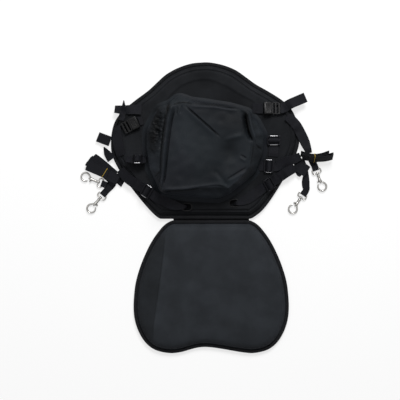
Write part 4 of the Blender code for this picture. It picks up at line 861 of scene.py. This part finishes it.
def cut_slots(obj):
    """Cuts the two blind strap slots into the pad and gives each a moulded rim."""
    floor, above = BACK_THICKNESS - SLOT_DEPTH, 0.04
    for side, centre in SLOTS.items():
        oval = rounded_rectangle(SLOT_LENGTH, SLOT_WIDTH, SLOT_WIDTH * SLOT_ROUND, 10) + centre
        middle = np.tile(oval.mean(axis=0), (len(oval), 1))
        walls = np.dstack(stacked(((middle, floor), (oval, floor), (oval, above), (middle, above))))
        cutter = piece(side + "_slot_cut", grid(walls, (False, True)), BACK_CLOTH, "back")
        modifier = obj.modifiers.new("slot", "BOOLEAN")
        modifier.object = cutter
        modifier.solver = "EXACT"
        graph = bpy.context.evaluated_depsgraph_get()
        cut = bpy.data.meshes.new_from_object(obj.evaluated_get(graph))
        obj.modifiers.clear()
        obj.data = cut
        bpy.data.objects.remove(cutter, do_unlink=True)
        width = SLOT_WIDTH + SLOT_RIM
        oval = rounded_rectangle(SLOT_LENGTH + SLOT_RIM, width, width * SLOT_ROUND, 12) + centre
        path = level(oval, BACK_THICKNESS + 0.0001)
        rim = swept(path, *crossed(path, True), circle(0.0013, 10) * (1.0, 0.6), closed=True)
        piece(side + "_slot_rim", rim, BUCKLE, "back")


def binding(name, edge, body, nodes, seed):
    """Folded tape round an edge: a U section with rounded corners that pulls in a little at each stitch."""
    fold = np.array([
        (0.0080, 0.0), (0.0040, -0.0001), (0.0014, 0.0), (0.0004, 0.0005), (0.0, 0.0016), (0.0, 0.0035),
        (0.0, 0.0054), (0.0004, 0.0065), (0.0014, 0.0070), (0.0040, 0.0071), (0.0080, 0.0070), (0.0083, 0.0064),
        (0.0080, 0.0058), (0.0040, 0.0057), (0.0013, 0.0054), (0.0012, 0.0035), (0.0013, 0.0016), (0.0040, 0.0013),
        (0.0080, 0.0012), (0.0083, 0.0006),
    ])
    rows = np.stack([level(inset(edge, distance), TAPE_LOW + height) for distance, height in fold], axis=1)
    along = run_of(closed_on(edge))
    pull = 0.00022 * np.sin(along[:-1, None] * 2 * pi / 0.0052 + waves(edge, 0.06, seed, 8)[:, None])
    rows[:, 8:12, 2] += pull
    shape = grid(rows, (True, True), (along, run_of(closed_on(fold))))
    piece(name, shape, BINDING, body, nodes, crease=75)


def stitches(name, path, spacing, body):
    """A row of thread stitches round a path: each is a small six-sided spindle, laid on the cloth."""
    count = int(round(run_of(path[:, :2])[-1] / spacing))
    points = evenly(path, count, cyclic=True)
    ahead = unit(np.roll(points, -1, axis=0) - points)
    side = unit(np.cross(ahead, UP))
    up = np.cross(side, ahead)
    shares = np.array([-1.0, -0.7, 0.0, 0.7, 1.0]) * STITCH_LENGTH / 2
    wide = np.array([0.05, 0.7, 1.0, 0.7, 0.05]) * STITCH_RADIUS
    ring = circle(1.0, 6)[None, None]
    aside = side[:, None, None] * ring[..., :1] + up[:, None, None] * ring[..., 1:]
    spindles = points[:, None, None] + ahead[:, None, None] * shares[None, :, None, None]
    spindles = spindles + wide[None, :, None, None] * aside
    piece(name, together(*(grid(one, (False, True)) for one in spindles)), THREAD, body)


back_pad = pad(
    "back_board", BACK_EDGE, BACK_THICKNESS, BACK_BORDER, back_relief, BACK_CLOTH, "back", ["back_pad"]
)
cut_slots(back_pad)
paint(back_pad, "shade", back_shade(corners_of(back_pad)[:, :2]))
seat_pad = pad("seat_board", SEAT_EDGE, SEAT_THICKNESS, SEAT_BORDER, seat_relief, SEAT_CLOTH, "seat", ["seat_pad"])
paint(seat_pad, "shade", seat_shade(corners_of(seat_pad)[:, :2]))
binding("back_binding", BACK_EDGE, "back", ["back_edge_tape"], 1)
binding("seat_binding", SEAT_EDGE, "seat", ["seat_edge_tape"], 2)
# The roll between the pads, drawn in at each turn of its overcast thread
seam_x = np.linspace(SEAT_AXIS_X - 0.095, SEAT_AXIS_X + 0.095, 240)
seam_turn = seam_x * 2 * pi / 0.0047
seam_path = np.stack([
    seam_x, SEAM_Y + 0.00012 * np.sin(seam_turn), TAPE_LOW + 0.00016 * np.sin(seam_turn + 1)
], axis=1)
seam = swept(seam_path, *crossed(seam_path), circle(0.00158, 16) * (2.1, 1.0))
piece("seam_roll", seam, BINDING, "back", ["hinge_seam"])
for name, edge, border in (("back", BACK_EDGE, BACK_BORDER), ("seat", SEAT_EDGE, SEAT_BORDER)):
    stitches(name + "_binding_stitches", level(inset(edge, 0.0064), TAPE_LOW + 0.0072), 0.0042, name)
    height = np.interp(BORDER_SEAM, *border) + 0.0001
    stitches(name + "_border_stitches", level(smoothed(inset(edge, BORDER_SEAM), 2), height), 0.0044, name)


BAG_AROUND = 640
# The corners of the stuffed bag's outline and of its outer panel, in the photograph's pixels
BAG_CORNERS = (
    (145.2, 128.5), (145.2, 146.5), (148.4, 168), (158.4, 190), (164, 193.8), (190, 196.6), (218.5, 198.4),
    (231, 193), (246, 181), (256, 172), (264.6, 150.5), (265.2, 132), (258, 119), (250, 109.6), (231, 104),
    (200, 99.2), (190, 98.2), (181.5, 94.6), (177, 94.6), (169, 101), (157, 105.4),
)
PANEL_CORNERS = (
    (171.2, 103.8), (180, 102.8), (213, 104.2), (240, 107.6), (247.6, 111.4), (250.6, 122), (254.2, 141),
    (252.2, 152), (250.2, 166.8), (240, 178), (229, 188.4), (217, 187.2), (201, 187.6), (161, 190.2),
    (161.6, 178), (163.8, 150), (167.4, 122),
)
BAG_MIDDLE = (-0.003, 0.158)
BAG_SCALE = 0.967


def on_bag(*pixels):
    """Places on the bag, which stands nearer to the camera than the floor and so looks larger."""
    return CAMERA_PLACE + (photo(*pixels) - CAMERA_PLACE) * BAG_SCALE


def bag_rings():
    """The bag's surface as rings of places with heights as shares of its depth.

    They run from the middle of the base outwards, up the gussets to the panel's edge, and over it to its middle."""
    outer = smoothed(evenly(on_bag(*BAG_CORNERS[::-1]), BAG_AROUND, cyclic=True), 8)
    panel = evenly(on_bag(*PANEL_CORNERS[::-1]), BAG_AROUND, cyclic=True)
    turn, other = (np.arctan2(*(loop - BAG_MIDDLE).T[::-1]) for loop in (outer, panel))
    order = np.argsort(other)
    panel = np.stack([np.interp(turn, other[order], panel[order, axis], period=2 * pi) for axis in (0, 1)], axis=1)
    panel = smoothed(panel, 4)
    middle = panel.mean(axis=0)
    low = smoothed(inset(outer, 0.012), 6)
    rows = [(middle + share * (low - middle), 0.0) for share in (0.0, 0.35, 0.7, 0.9)]
    rows += [(low, 0.0), (low + 0.7 * (outer - low), 0.04), (low + 0.9 * (outer - low), 0.09)]
    for height in np.linspace(0.14, 0.42, 12):
        swell = cos((height - 0.28) / 0.14 * 0.5)
        rows.append((middle + (outer - middle) * (0.975 + 0.025 * swell), height))
    start = rows[-1][0]
    for share in np.linspace(0.03, 1.0, 34):
        rows.append((start + share * (panel - start), 0.42 + 0.53 * (0.75 * share + 0.25 * sin(share * pi / 2))))
    for share in np.linspace(0.99, 0.0, 84):
        rows.append((middle + share * (panel - middle), 0.95 + 0.05 * min(1.0, (1 - share) / 0.45) ** 0.8))
    return rows


# The bag's folds and the painted shade along its creases, with painted light where its amount is above 0: a path in
# the photograph's pixels, then the fold's height and the shade's amount, each with its width on the left, its width
# on the right and the share faded at its ends
BAG_CREASES = (
    # The narrow pleat down the panel's left edge, with the valleys on both sides of it
    (((171.5, 103), (167.2, 121), (163.6, 150), (161.8, 178), (160.4, 188)), (0.0046, 0.0052, 0.0046, 0.06), None),
    (((174.6, 104.5), (170.6, 124), (167.4, 150), (164.6, 176), (161.8, 188)), (-0.0036, 0.0016, 0.003, 0.1), None),
    (((168, 104), (163, 121), (160, 148), (158.6, 176)), (-0.003, 0.0022, 0.0016, 0.12), None),
    # The pinched corner at the upper left, with the pocket below it
    (((168, 103.5), (173, 98), (179, 95.5), (186, 97.2), (194, 101.2)), (0.0062, 0.0034, 0.004, 0.2), None),
    (((171.5, 104.2), (178, 101.2), (186.5, 101), (192.5, 103)), (-0.0052, 0.0018, 0.0026, 0.25), None),
    (((177.2, 104), (177, 109), (176, 116)), (-0.0016, 0.0018, 0.0026, 0.35), None),
    (((181.6, 104), (181.2, 108), (180, 114)), (-0.0016, 0.0018, 0.0026, 0.35), None),
    (((179.5, 104), (179.2, 109), (178.5, 116)), (0.0012, 0.0024, 0.0024, 0.35), None),
    # The long diagonal crease
    (((184, 104), (196, 114.5), (209, 126), (222.3, 138.1)),
     (-0.003, 0.0016, 0.0018, 0.22), (-0.72, 0.0016, 0.002, 0.16)),
    (((182.4, 104.8), (194.8, 116), (207.8, 127.5), (220, 138.6)), (0.0026, 0.003, 0.007, 0.25), None),
    # The deep slit at the upper right with the flap beside it
    (((245.2, 111.5), (246.6, 120), (248.6, 130), (253.4, 141.5)), (-0.0105, 0.0014, 0.0058, 0.2), None),
    (((247.6, 110.5), (249.8, 120), (252, 130), (256.2, 142)), (0.004, 0.0048, 0.0016, 0.2), None),
    (((240.5, 107.5), (246, 111), (250, 116)), (0.003, 0.003, 0.004, 0.3), None),
    # The lower right: a long fine crease, a short one, and the rim of the dent
    (((225.5, 180.2), (237, 173), (248.2, 166.4)), (-0.0018, 0.0014, 0.002, 0.3), (-0.6, 0.0016, 0.002, 0.25)),
    (((227, 182.5), (239, 175.5), (250, 169)), (0.0016, 0.0026, 0.005, 0.3), (0.24, 0.0026, 0.005, 0.3)),
    (((240.6, 154.2), (243.8, 156), (247.4, 158.6)), (-0.0022, 0.0014, 0.002, 0.35), (-0.6, 0.0014, 0.0018, 0.3)),
    (((239, 156.8), (243, 159.2), (247, 162)), (0.0016, 0.0026, 0.004, 0.35), None),
    (((222, 140.5), (234, 137), (247, 134)), (0.002, 0.007, 0.006, 0.3), None),
    (((230, 188), (222.5, 179), (213, 168)), (-0.0022, 0.006, 0.006, 0.25), None),
    # The panel's lower edge and the corner of the lower gusset
    (((163, 191.2), (172, 190.9), (185, 190.2), (201, 188.2)),
     (-0.0017, 0.0013, 0.0015, 0.2), (-0.75, 0.0015, 0.0018, 0.15)),
    (((161.5, 189.6), (182, 188.8), (201, 186.4), (217, 184.6), (229, 187.6)), (0.0018, 0.005, 0.002, 0.1), None),
    # Its upper edge
    (((192, 103.6), (213, 104.4), (239.5, 108.2)), (-0.0018, 0.0013, 0.0016, 0.15), None),
    (((189, 105.6), (213, 106.6), (238, 110.4)), (0.0012, 0.0022, 0.004, 0.15), None),
    # The left gusset: a dark hollow above, a flat plane with one crease below
    (((158.6, 106.5), (156.6, 119), (156.2, 132), (154.5, 145.5)), (-0.0085, 0.0085, 0.0075, 0.25), None),
    (((163.8, 104), (164.6, 109), (164.2, 117)), (0.0026, 0.0016, 0.0016, 0.3), None),
    (((152.8, 178.4), (156, 174.4), (160, 170.6)), (-0.0024, 0.0016, 0.0022, 0.3), (-0.6, 0.0016, 0.002, 0.25)),
    (((150, 147), (155, 149.5), (160, 148)), (0.0022, 0.003, 0.004, 0.25), None),
    # The right gusset
    (((256, 143.5), (259.5, 146.5), (264.5, 149)), (-0.002, 0.0018, 0.0026, 0.3), (-0.6, 0.0016, 0.0022, 0.3)),
    (((252.5, 142.5), (252, 152), (250.2, 163.5)), (-0.0022, 0.002, 0.003, 0.25), None),
    (((257, 118), (260.5, 128), (261.5, 140)), (0.002, 0.004, 0.005, 0.3), None),
    # Painted shade and light alone
    (((171.6, 105), (168, 122), (164.6, 150), (162.2, 178), (160.6, 188)), None, (0.24, 0.004, 0.0024, 0.06)),
    (((175.2, 108), (171.2, 124), (167.6, 150), (164.8, 176), (162, 188)), None, (-0.62, 0.0018, 0.003, 0.08)),
    (((167.6, 103), (163.8, 121), (160.8, 148), (159.4, 176)), None, (-0.66, 0.0046, 0.0022, 0.1)),
    (((146.6, 128), (150.6, 117), (156.6, 107)), None, (0.7, 0.0034, 0.003, 0.2)),
    (((171.5, 104.2), (178, 101.8), (186.5, 101.4), (193.5, 103.6)), None, (-0.75, 0.0018, 0.0026, 0.2)),
    (((178, 105), (177.4, 109), (176.4, 113)), None, (-0.4, 0.0016, 0.0016, 0.3)),
    (((182, 105.4), (194.4, 116.8), (207.2, 128.2), (219.4, 139.4)), None, (0.2, 0.003, 0.006, 0.22)),
    (((246.2, 110.5), (247.4, 120), (249.4, 130), (254.2, 141.5)), None, (-0.9, 0.0022, 0.0026, 0.14)),
    (((249.2, 110.5), (251, 120), (253.4, 130), (257.2, 142)), None, (0.6, 0.0022, 0.0016, 0.18)),
    (((222, 139), (234, 136), (248, 134.5)), None, (0.2, 0.004, 0.005, 0.25)),
    (((161.5, 188.9), (182, 188.2), (201, 185.8), (217, 184)), None, (0.26, 0.0026, 0.0018, 0.12)),
    (((218, 184.5), (224, 186.5), (229, 188.4)), None, (-0.5, 0.002, 0.0026, 0.2)),
    (((192, 103), (213, 103.8), (239.5, 107.6)), None, (-0.45, 0.0018, 0.002, 0.15)),
    (((189, 105.2), (213, 106.2), (238, 110)), None, (0.24, 0.002, 0.003, 0.15)),
    (((146.4, 146.4), (152, 149), (159, 148)), None, (-0.4, 0.005, 0.0014, 0.2)),
    (((254.4, 142.5), (253, 152), (251, 165.5)), None, (-0.5, 0.002, 0.0026, 0.2)),
)
# Soft hollows and swells: place in pixels, height, reach along x and y in metres
BAG_SWELLS = (
    ((230, 152), -0.0062, 0.019, 0.027), ((217.5, 168.5), -0.0034, 0.02, 0.017),
    ((192, 160), 0.0022, 0.04, 0.05), ((236, 122), 0.0012, 0.025, 0.025), ((190, 176), -0.001, 0.03, 0.012),
    ((212, 118), -0.0014, 0.03, 0.02),
)


def fading(places, centre, reach_x, reach_y):
    """1 at a place in the picture, falling to 0 in the shape of a bell around it."""
    away = places - on_bag(centre)[0]
    return np.exp(-((away[..., 0] / reach_x) ** 2) - (away[..., 1] / reach_y) ** 2)


def creases(places, which):
    """The sum of the ridges along the bag's creases: 0 for the heights of the folds, 1 for their painted shade and
    light.
    """
    total = np.zeros(places.shape[:-1])
    for pixels, *ridges in BAG_CREASES:
        if ridges[which]:
            total += ridge(places, evenly(catmull_rom(on_bag(*pixels), 6), 40), *ridges[which])
    return total


def bag_relief(places, height):
    """Folds, hollows and the crumple of loosely filled nylon, as an amount outwards."""
    total = creases(places, 0)
    for centre, rise, reach_x, reach_y in BAG_SWELLS:
        total += rise * fading(places, centre, reach_x, reach_y)
    hollow = fading(places, (155.5, 126.0), 0.016, 0.042)
    strip = fading(places, (214.0, 101.2), 0.050, 0.0055)
    total += 0.0007 * waves(places, 0.090, 21, 16) + 0.00022 * waves(places, 0.030, 22, 20)
    total += hollow * (0.0016 * waves(places, 0.016, 23, 24) + 0.0010 * waves(places, 0.009, 24, 24))
    slanted = places @ np.array([[0.80], [-0.60]])
    total += strip * 0.0013 * np.sin(slanted[..., 0] * 2 * pi / 0.0085 + 1.2 * waves(places, 0.05, 25, 8))
    total += 0.0006 * (1 - np.clip((height - 0.80) / 0.12, 0, 1)) * waves(places, 0.034, 26, 20)
    return total * (0.25 * np.clip((height - 0.12) / 0.2, 0, 1) + 0.75 * np.clip((height - 0.42) / 0.20, 0, 1))


# Painted shade in hollows and on planes that turn away from the light, and painted light where the amount is above
# 0: place, amount, reach along x and y in metres
BAG_SHADES = (
    ((155, 119), -0.86, 0.017, 0.054), ((151, 140), -0.62, 0.014, 0.024), ((151.5, 168), 0.75, 0.016, 0.036),
    ((168, 105), -0.8, 0.005, 0.016), ((229.5, 150), -0.42, 0.022, 0.034), ((214, 170), -0.24, 0.026, 0.016),
    ((232, 118), -0.4, 0.044, 0.03), ((206, 112), -0.16, 0.03, 0.018), ((246, 122), -0.42, 0.01, 0.034),
    ((259, 127), 0.22, 0.01, 0.032), ((258, 150), -0.22, 0.012, 0.03), ((184, 142), 0.3, 0.03, 0.075),
    ((200, 195), 1.3, 0.066, 0.011), ((228, 191.6), 0.6, 0.026, 0.01), ((182, 98.6), -0.1, 0.012, 0.008),
    ((190, 179), -0.16, 0.056, 0.018), ((241, 183), 0.8, 0.024, 0.016), ((240, 161), 0.2, 0.02, 0.02),
    ((222, 101.5), -0.14, 0.04, 0.006),
)


def bag_shade(places):
    """1 on flat cloth, less with painted shade in hollows and creases, and more with painted light on edges and
    planes that face the light: a sum of bells and of ridges.
    """
    total = np.ones(places.shape[:-1])
    for centre, amount, reach_x, reach_y in BAG_SHADES:
        total += amount * fading(places, centre, reach_x, reach_y)
    return np.clip(total + creases(places, 1), 0.10, 2.6)


def build_bag():
    """The stuffed bag: its rings, moved along their normals by the relief of its folds, down to the backrest."""
    places, height = stacked(bag_rings())
    points = np.dstack([places, BAG_BASE_Z + BAG_DEPTH * height])
    along = np.roll(points, -1, axis=1) - np.roll(points, 1, axis=1)
    normal = np.cross(along, np.gradient(points, axis=0))
    length = np.linalg.norm(normal, axis=2, keepdims=True)
    normal = np.where(length > 1e-12, normal / np.maximum(length, 1e-12), UP)
    if normal[-20, 0, 2] < 0:
        normal = -normal
    normal = (np.roll(normal, 2, axis=1) + np.roll(normal, -2, axis=1) + normal) / 3
    normal[-4:] = UP
    points += bag_relief(places, height)[..., None] * normal
    points[..., 2] = np.maximum(points[..., 2], BAG_BASE_Z)
    obj = piece("bag", grid(points, (False, True)), BAG_NYLON, "back", ["storage_bag"], crease=80)
    paint(obj, "shade", bag_shade(corners_of(obj)[:, :2]))


build_bag()


def strap(name, stations, nodes):
    """Webbing along its stations: a smooth path through their middles, with its width turned between them."""
    rows = np.array(stations) / 1000.0
    wide = np.linalg.norm(rows[:, 3:], axis=1)
    dense = catmull_rom(rows, 9)
    centre, side = dense[:, :3], unit(dense[:, 3:])
    half = np.interp(np.linspace(0, 1, len(centre)), np.linspace(0, 1, len(wide)), wide)
    ahead = unit(np.gradient(centre, axis=0))
    up = unit(np.cross(side, ahead))
    points = (
        centre[:, None] + side[:, None] * STRAP_SECTION[None, :, :1] * half[:, None, None]
        + up[:, None] * STRAP_SECTION[None, :, 1:] * WEBBING_THICKNESS
    )
    along = run_of(centre)
    along = np.concatenate([along[:1], along, along[-1:], along[-1:]])
    shape = grid(drawn_together(points), (False, True), (along, closed_on(STRAP_SECTION[:, 0] * half.mean())))
    piece(name, shape, STRAP, "back", nodes, crease=65)


# Ribbon section as shares of half its width and of its thickness: rounded edges and a slightly thicker selvedge
STRAP_SECTION = np.column_stack([
    (1.0, 0.9985, 0.992, 0.975, 0.90, 0.60, 0.25, -0.25, -0.60, -0.90, -0.975, -0.992, -0.9985),
    np.array([0.0, 0.55, 0.85, 1.0, 0.86, 0.88, 0.88, 0.88, 0.88, 0.86, 1.0, 0.85, 0.55]) / 2,
])
STRAP_SECTION = np.concatenate([STRAP_SECTION, -STRAP_SECTION])

for key, stations in STRAPS.items():
    strap("web_" + key, stations, [key])
for key, stations in BUNDLE_FOLDS.items():
    strap("web_" + key, stations, [])


def copy_of(node):
    """The CAD piece as a mesh of its own, merged and with its flat triangles joined, ready for bevels."""
    source = bpy.data.objects[node]
    mesh = bpy.data.meshes.new_from_object(source.evaluated_get(bpy.context.evaluated_depsgraph_get()))
    mesh.transform(source.matrix_world)
    tidy = bmesh.new()
    tidy.from_mesh(mesh)
    bmesh.ops.remove_doubles(tidy, verts=tidy.verts, dist=1e-5)
    bmesh.ops.dissolve_limit(tidy, angle_limit=radians(2), verts=tidy.verts, edges=tidy.edges)
    bmesh.ops.recalc_face_normals(tidy, faces=tidy.faces)
    tidy.to_mesh(mesh)
    tidy.free()
    return mesh


def moulded(name, node, material, width):
    """A CAD piece of the backrest with its edges rounded."""
    obj = bpy.data.objects.new(name, copy_of(node))
    obj.data.materials.clear()
    obj.data.materials.append(material)
    bpy.context.scene.collection.objects.link(obj)
    bevel = obj.modifiers.new("rounded", "BEVEL")
    bevel.width = width
    bevel.segments = 3
    bevel.limit_method = "ANGLE"
    bevel.angle_limit = radians(35)
    bevel.harden_normals = False
    obj.data.shade_smooth()
    obj.data.set_sharp_from_angle(angle=radians(60))
    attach(obj, "back")
    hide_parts(node)


# Each slide's middle, the direction of its strap, the direction of its bar, and the way its painted glints point
SLIDES = {
    "right_curl": ((0.1655, 0.1690, 0.0294), (0.0, -1.0, 0.0), (1.0, 0.0, 0.0), "along"),
    "right_upper": ((0.1531, 0.1049, 0.0294), (0.9986, -0.0523, 0.0), (0.0523, 0.9986, 0.0), "across"),
    "right_lower": ((0.1544, 0.0598, 0.0292), (0.8277, 0.5375, -0.1612), (-0.4679, 0.8196, 0.3306), "none"),
    "left_middle": ((-0.1730, 0.1221, 0.0415), (1.0, 0.0, 0.0), (0.0, 0.6428, -0.7660), "across"),
    "left_lower": ((-0.1510, 0.0427, 0.0293), (-0.8251, 0.5565, -0.0973), (-0.4934, -0.7937, -0.3558), "across"),
}
SLIDE_LENGTH = 0.024
SLIDE_WIDTH = 0.033
SLIDE_ROD = 0.003
SLIDE_BAR = 0.004


# Where the painted glint starts, from the slide's middle, and how far it runs to both sides
GLINT_REACH = {"along": (0.0106, 0.0105), "across": (0.0152, 0.0075), "none": (1.0, 0.0075)}


def slide(name, centre, along, across, glint):
    """A tri-glide of round-edged rod: a rounded frame and the bar across its middle, with painted glints at two
    sides.
    """
    loop = rounded_rectangle(SLIDE_LENGTH - SLIDE_ROD, SLIDE_WIDTH - SLIDE_ROD, 0.0018, 8)
    loop = evenly(loop, 160, cyclic=True)
    path = level(loop, 0.0)
    round_rod = circle(1.0, 20)
    square = np.sign(round_rod) * np.abs(round_rod) ** 0.6 * SLIDE_ROD / 2
    frame_shape = swept(path, *crossed(path, True), square, closed=True)
    reach = SLIDE_WIDTH / 2 - SLIDE_ROD + 0.0005
    bar = np.column_stack([np.zeros(24), np.linspace(-reach, reach, 24), np.zeros(24)])
    bar_shape = swept(bar, *crossed(bar), square * (SLIDE_BAR / SLIDE_ROD, 0.86))
    shape = together(frame_shape, bar_shape)
    up = np.cross(along, across)
    turned_points = shape[0] @ np.stack([along, across, up]) + centre
    shape = turned_points, *shape[1:]
    obj = piece(name + "_glide", shape, SLIDE, "back", [name + "_slide"], crease=80)
    rows = corners_of(obj) - centre
    towards, beside_it = (along, across) if glint == "along" else (across, along)
    start, reach = GLINT_REACH[glint]
    # Painted glints: bright metal on the rods at two sides, where light catches them
    painted_glint = np.clip((np.abs(rows @ towards) - start) / 0.0010 + 0.5, 0, 1)
    paint(obj, "painted_glint", painted_glint * np.clip((reach - np.abs(rows @ beside_it)) / 0.002, 0, 1))


for name, (centre, along, across, glint) in SLIDES.items():
    slide(name, np.array(centre), np.array(along), np.array(across), glint)
for side in ("right", "left"):
    moulded(f"{side}_socket", f"{side}_buckle_socket", BUCKLE, 0.0004)
    moulded(f"{side}_plug", f"{side}_buckle_plug", BUCKLE, 0.0004)
    moulded(f"{side}_elastic", f"{side}_tie", ELASTIC, 0.0003)

# The snap hooks, along their length from the strap
EYE_BOSS_X = 0.0094
SHANK_START = 0.0148
SHANK_END = 0.0348
RING_RADIUS = 0.0106
RING_WIRE = 0.0020
RING_CENTRE = 0.0465
KNOB_X = 0.0313


def eye_shape():
    """The swivel eye: a wire loop with rounded corners, and a turned collar where the pin passes."""
    loop = evenly(rounded_rectangle(0.0114, 0.0219, 0.0040, 10) + (0.0057, 0.0), 96, cyclic=True)
    path = level(loop, 0.0)
    wire = swept(path, *crossed(path, True), circle(0.0017, 14), closed=True)
    collar = turned([(EYE_BOSS_X + x, radius) for x, radius in (
        (0.0, 0.0017), (0.0, 0.0030), (0.0006, 0.0036), (0.0032, 0.0036), (0.0038, 0.0031), (0.0038, 0.0017),
        (0.0, 0.0017),
    )])
    return together(wire, collar)


def hook_shape():
    """The hook: a headed pin, a turned barrel with two collars and a tapered ring that rises out of the barrel."""
    head = EYE_BOSS_X - 0.0002
    profile = [
        (head - 0.0018, 0.0), (head - 0.0018, 0.0014), (head - 0.0014, 0.0021), (head - 0.0004, 0.0024),
        (head, 0.0021), (head, 0.0014),
    ]
    profile += [(SHANK_START + x, radius) for x, radius in (
        (-0.0002, 0.0014), (0.0, 0.0020), (0.0003, 0.0031), (0.0010, 0.0037), (0.0026, 0.0038), (0.0034, 0.0034),
        (0.0042, 0.0032), (0.0112, 0.0032), (0.0122, 0.0035), (0.0132, 0.0038),
    )]
    profile += [(SHANK_END + x, radius) for x, radius in (
        (-0.0012, 0.0038), (-0.0003, 0.0034), (0.0, 0.0027), (0.0, 0.0018), (-0.004, 0.0018), (-0.004, 0.0),
    )]
    barrel = turned(profile, 40)
    turn = np.radians(np.linspace(208, 514, 80))
    ring = np.stack([RING_CENTRE + RING_RADIUS * np.cos(turn), RING_RADIUS * np.sin(turn), 0 * turn], axis=1)
    lead = np.array([(SHANK_END - 0.0045, -0.0026, 0.0), (SHANK_END - 0.0015, -0.0029, 0.0)])
    path = evenly(catmull_rom(np.concatenate([lead, ring[4::6]]), 10), 110)
    share = np.linspace(0, 1, len(path))
    thick = RING_WIRE * np.interp(share, (0, 0.1, 0.3, 0.75, 0.96, 1.0), (0.75, 1.0, 1.12, 1.0, 0.85, 0.70))
    side, up = crossed(path)
    ring_shape = swept(path, side * thick[:, None], up * thick[:, None], circle(1.0, 18))
    return together(barrel, ring_shape)


def bolt_shape():
    """The spring bolt: a rod, a stem and a ribbed thumb knob beside the barrel."""
    tip = RING_CENTRE - RING_RADIUS + 0.0025
    start = KNOB_X - 0.004
    rod = turned([(start, 0.0), (start, 0.0016), (tip - 0.0010, 0.0016), (tip - 0.0003, 0.0012), (tip, 0.0)], 24)
    stem = turned([(0.0, 0.0), (0.0, 0.0011), (0.0052, 0.0011), (0.0052, 0.0)], 16)
    knob = turned([
        (0.0042, 0.0), (0.0043, 0.0018), (0.0048, 0.0025), (0.0055, 0.0027), (0.0061, 0.0024), (0.0066, 0.0026),
        (0.0073, 0.0024), (0.0079, 0.0015), (0.0080, 0.0),
    ], 28)
    aside = Matrix.Translation((KNOB_X, 0.0, 0.0)) @ Matrix.Rotation(pi / 2, 4, "Z")
    return together(rod, placed(stem, aside), placed(knob, aside))


for side, ((x, y), (ring_x, ring_y), knob_side) in HOOKS.items():
    place = Matrix.Translation((x, y, HOOK_AXIS_Z)) @ Matrix.Rotation(atan2(ring_y - y, ring_x - x), 4, "Z")
    if knob_side < 0:
        place = place @ Matrix.Rotation(pi, 4, "X")
    for part, shape in (("eye", eye_shape()), ("hook", hook_shape()), ("bolt", bolt_shape())):
        nodes = [f"{side}_snap_{part}"]
        obj = piece(f"{side}_clip_{part}", placed(shape, place), NICKEL, f"{side}_{part}", nodes)
        # Painted reflection: the hook darkens where its surface faces sideways, as if mirroring dark surroundings
        paint(obj, "flank_shade", 1 - np.abs(corners_of(obj, "normal")[:, 2]))


WHITE = (1.0, 1.0, 1.0, 1.0)
FLOOR_REACH = 30.0
FLOOR_Z = -0.0002
FLOOR_GLOW = 0.72
WORLD_LIGHT = 0.22


def seen_rays(tree):
    """1 for rays that show the background: from the camera, mirrored or passed through."""
    rays = tree.node("ShaderNodeLightPath").socket.node.outputs
    camera, glossy, passed = (Field(tree, rays[f"Is {kind} Ray"]) for kind in ("Camera", "Glossy", "Transmission"))
    return camera.math("MAXIMUM", glossy).math("MAXIMUM", passed)


def lit_floor():
    """A pale floor that shows as white, with a share of plain diffuse that keeps the object's shadow."""
    finish = Finish("studio_floor", (0.93, 0.93, 0.93), 0.85, Specular_IOR_Level=0.0)
    glow = finish.node("ShaderNodeEmission", inputs={"Strength": 1.0})
    plain = Field(finish, finish.shader.outputs[0])
    surface = finish.node("ShaderNodeMixShader", inputs={0: seen_rays(finish) * FLOOR_GLOW, 1: plain, 2: glow})
    finish.feed(finish.tree.nodes["Material Output"].inputs["Surface"], surface)
    return finish.material


def light(name, size, power, place):
    """A soft square light that points at the origin."""
    data = bpy.data.lights.new(name, "AREA")
    data.shape = "SQUARE"
    data.size = size
    data.energy = power
    lamp = bpy.data.objects.new(name, data)
    lamp.location = place
    lamp.rotation_euler = Vector(place).to_track_quat("Z", "Y").to_euler()
    bpy.context.scene.collection.objects.link(lamp)


def world():
    """White where it is seen or mirrored, and a plain grey as light."""
    made = bpy.data.worlds.new("studio")
    bpy.context.scene.world = made
    made.use_nodes = True
    tree = Tree(made.node_tree)
    output = next(node for node in tree.tree.nodes if node.type == "OUTPUT_WORLD")
    plain, white = (
        tree.node("ShaderNodeBackground", inputs={"Color": WHITE, "Strength": strength})
        for strength in (WORLD_LIGHT, 1.0)
    )
    mix = tree.node("ShaderNodeMixShader", inputs={0: seen_rays(tree), 1: plain, 2: white})
    tree.feed(output.inputs["Surface"], mix)


def stage():
    """The floor, the lights and the camera above it."""
    corners = [(x * FLOOR_REACH, y * FLOOR_REACH, FLOOR_Z) for x, y in ((-1, -1), (1, -1), (1, 1), (-1, 1))]
    mesh = bpy.data.meshes.new("floor")
    mesh.from_pydata(corners, [], [(0, 1, 2, 3)])
    floor = bpy.data.objects.new("floor", mesh)
    floor.data.materials.append(lit_floor())
    bpy.context.scene.collection.objects.link(floor)
    world()
    light("key", 1.1, 104.0, (0.5, 2.1, 2.2))
    light("fill", 2.4, 18.0, (-1.6, 0.9, 2.5))
    lens = bpy.data.cameras.new("camera")
    lens.lens = 85.0
    lens.sensor_width = 36.0
    camera = bpy.data.objects.new("camera", lens)
    camera.location = (*CAMERA_PLACE, CAMERA_HEIGHT)
    bpy.context.scene.collection.objects.link(camera)
    bpy.context.scene.camera = camera
    bpy.context.scene.view_settings.view_transform = "Standard"


stage()
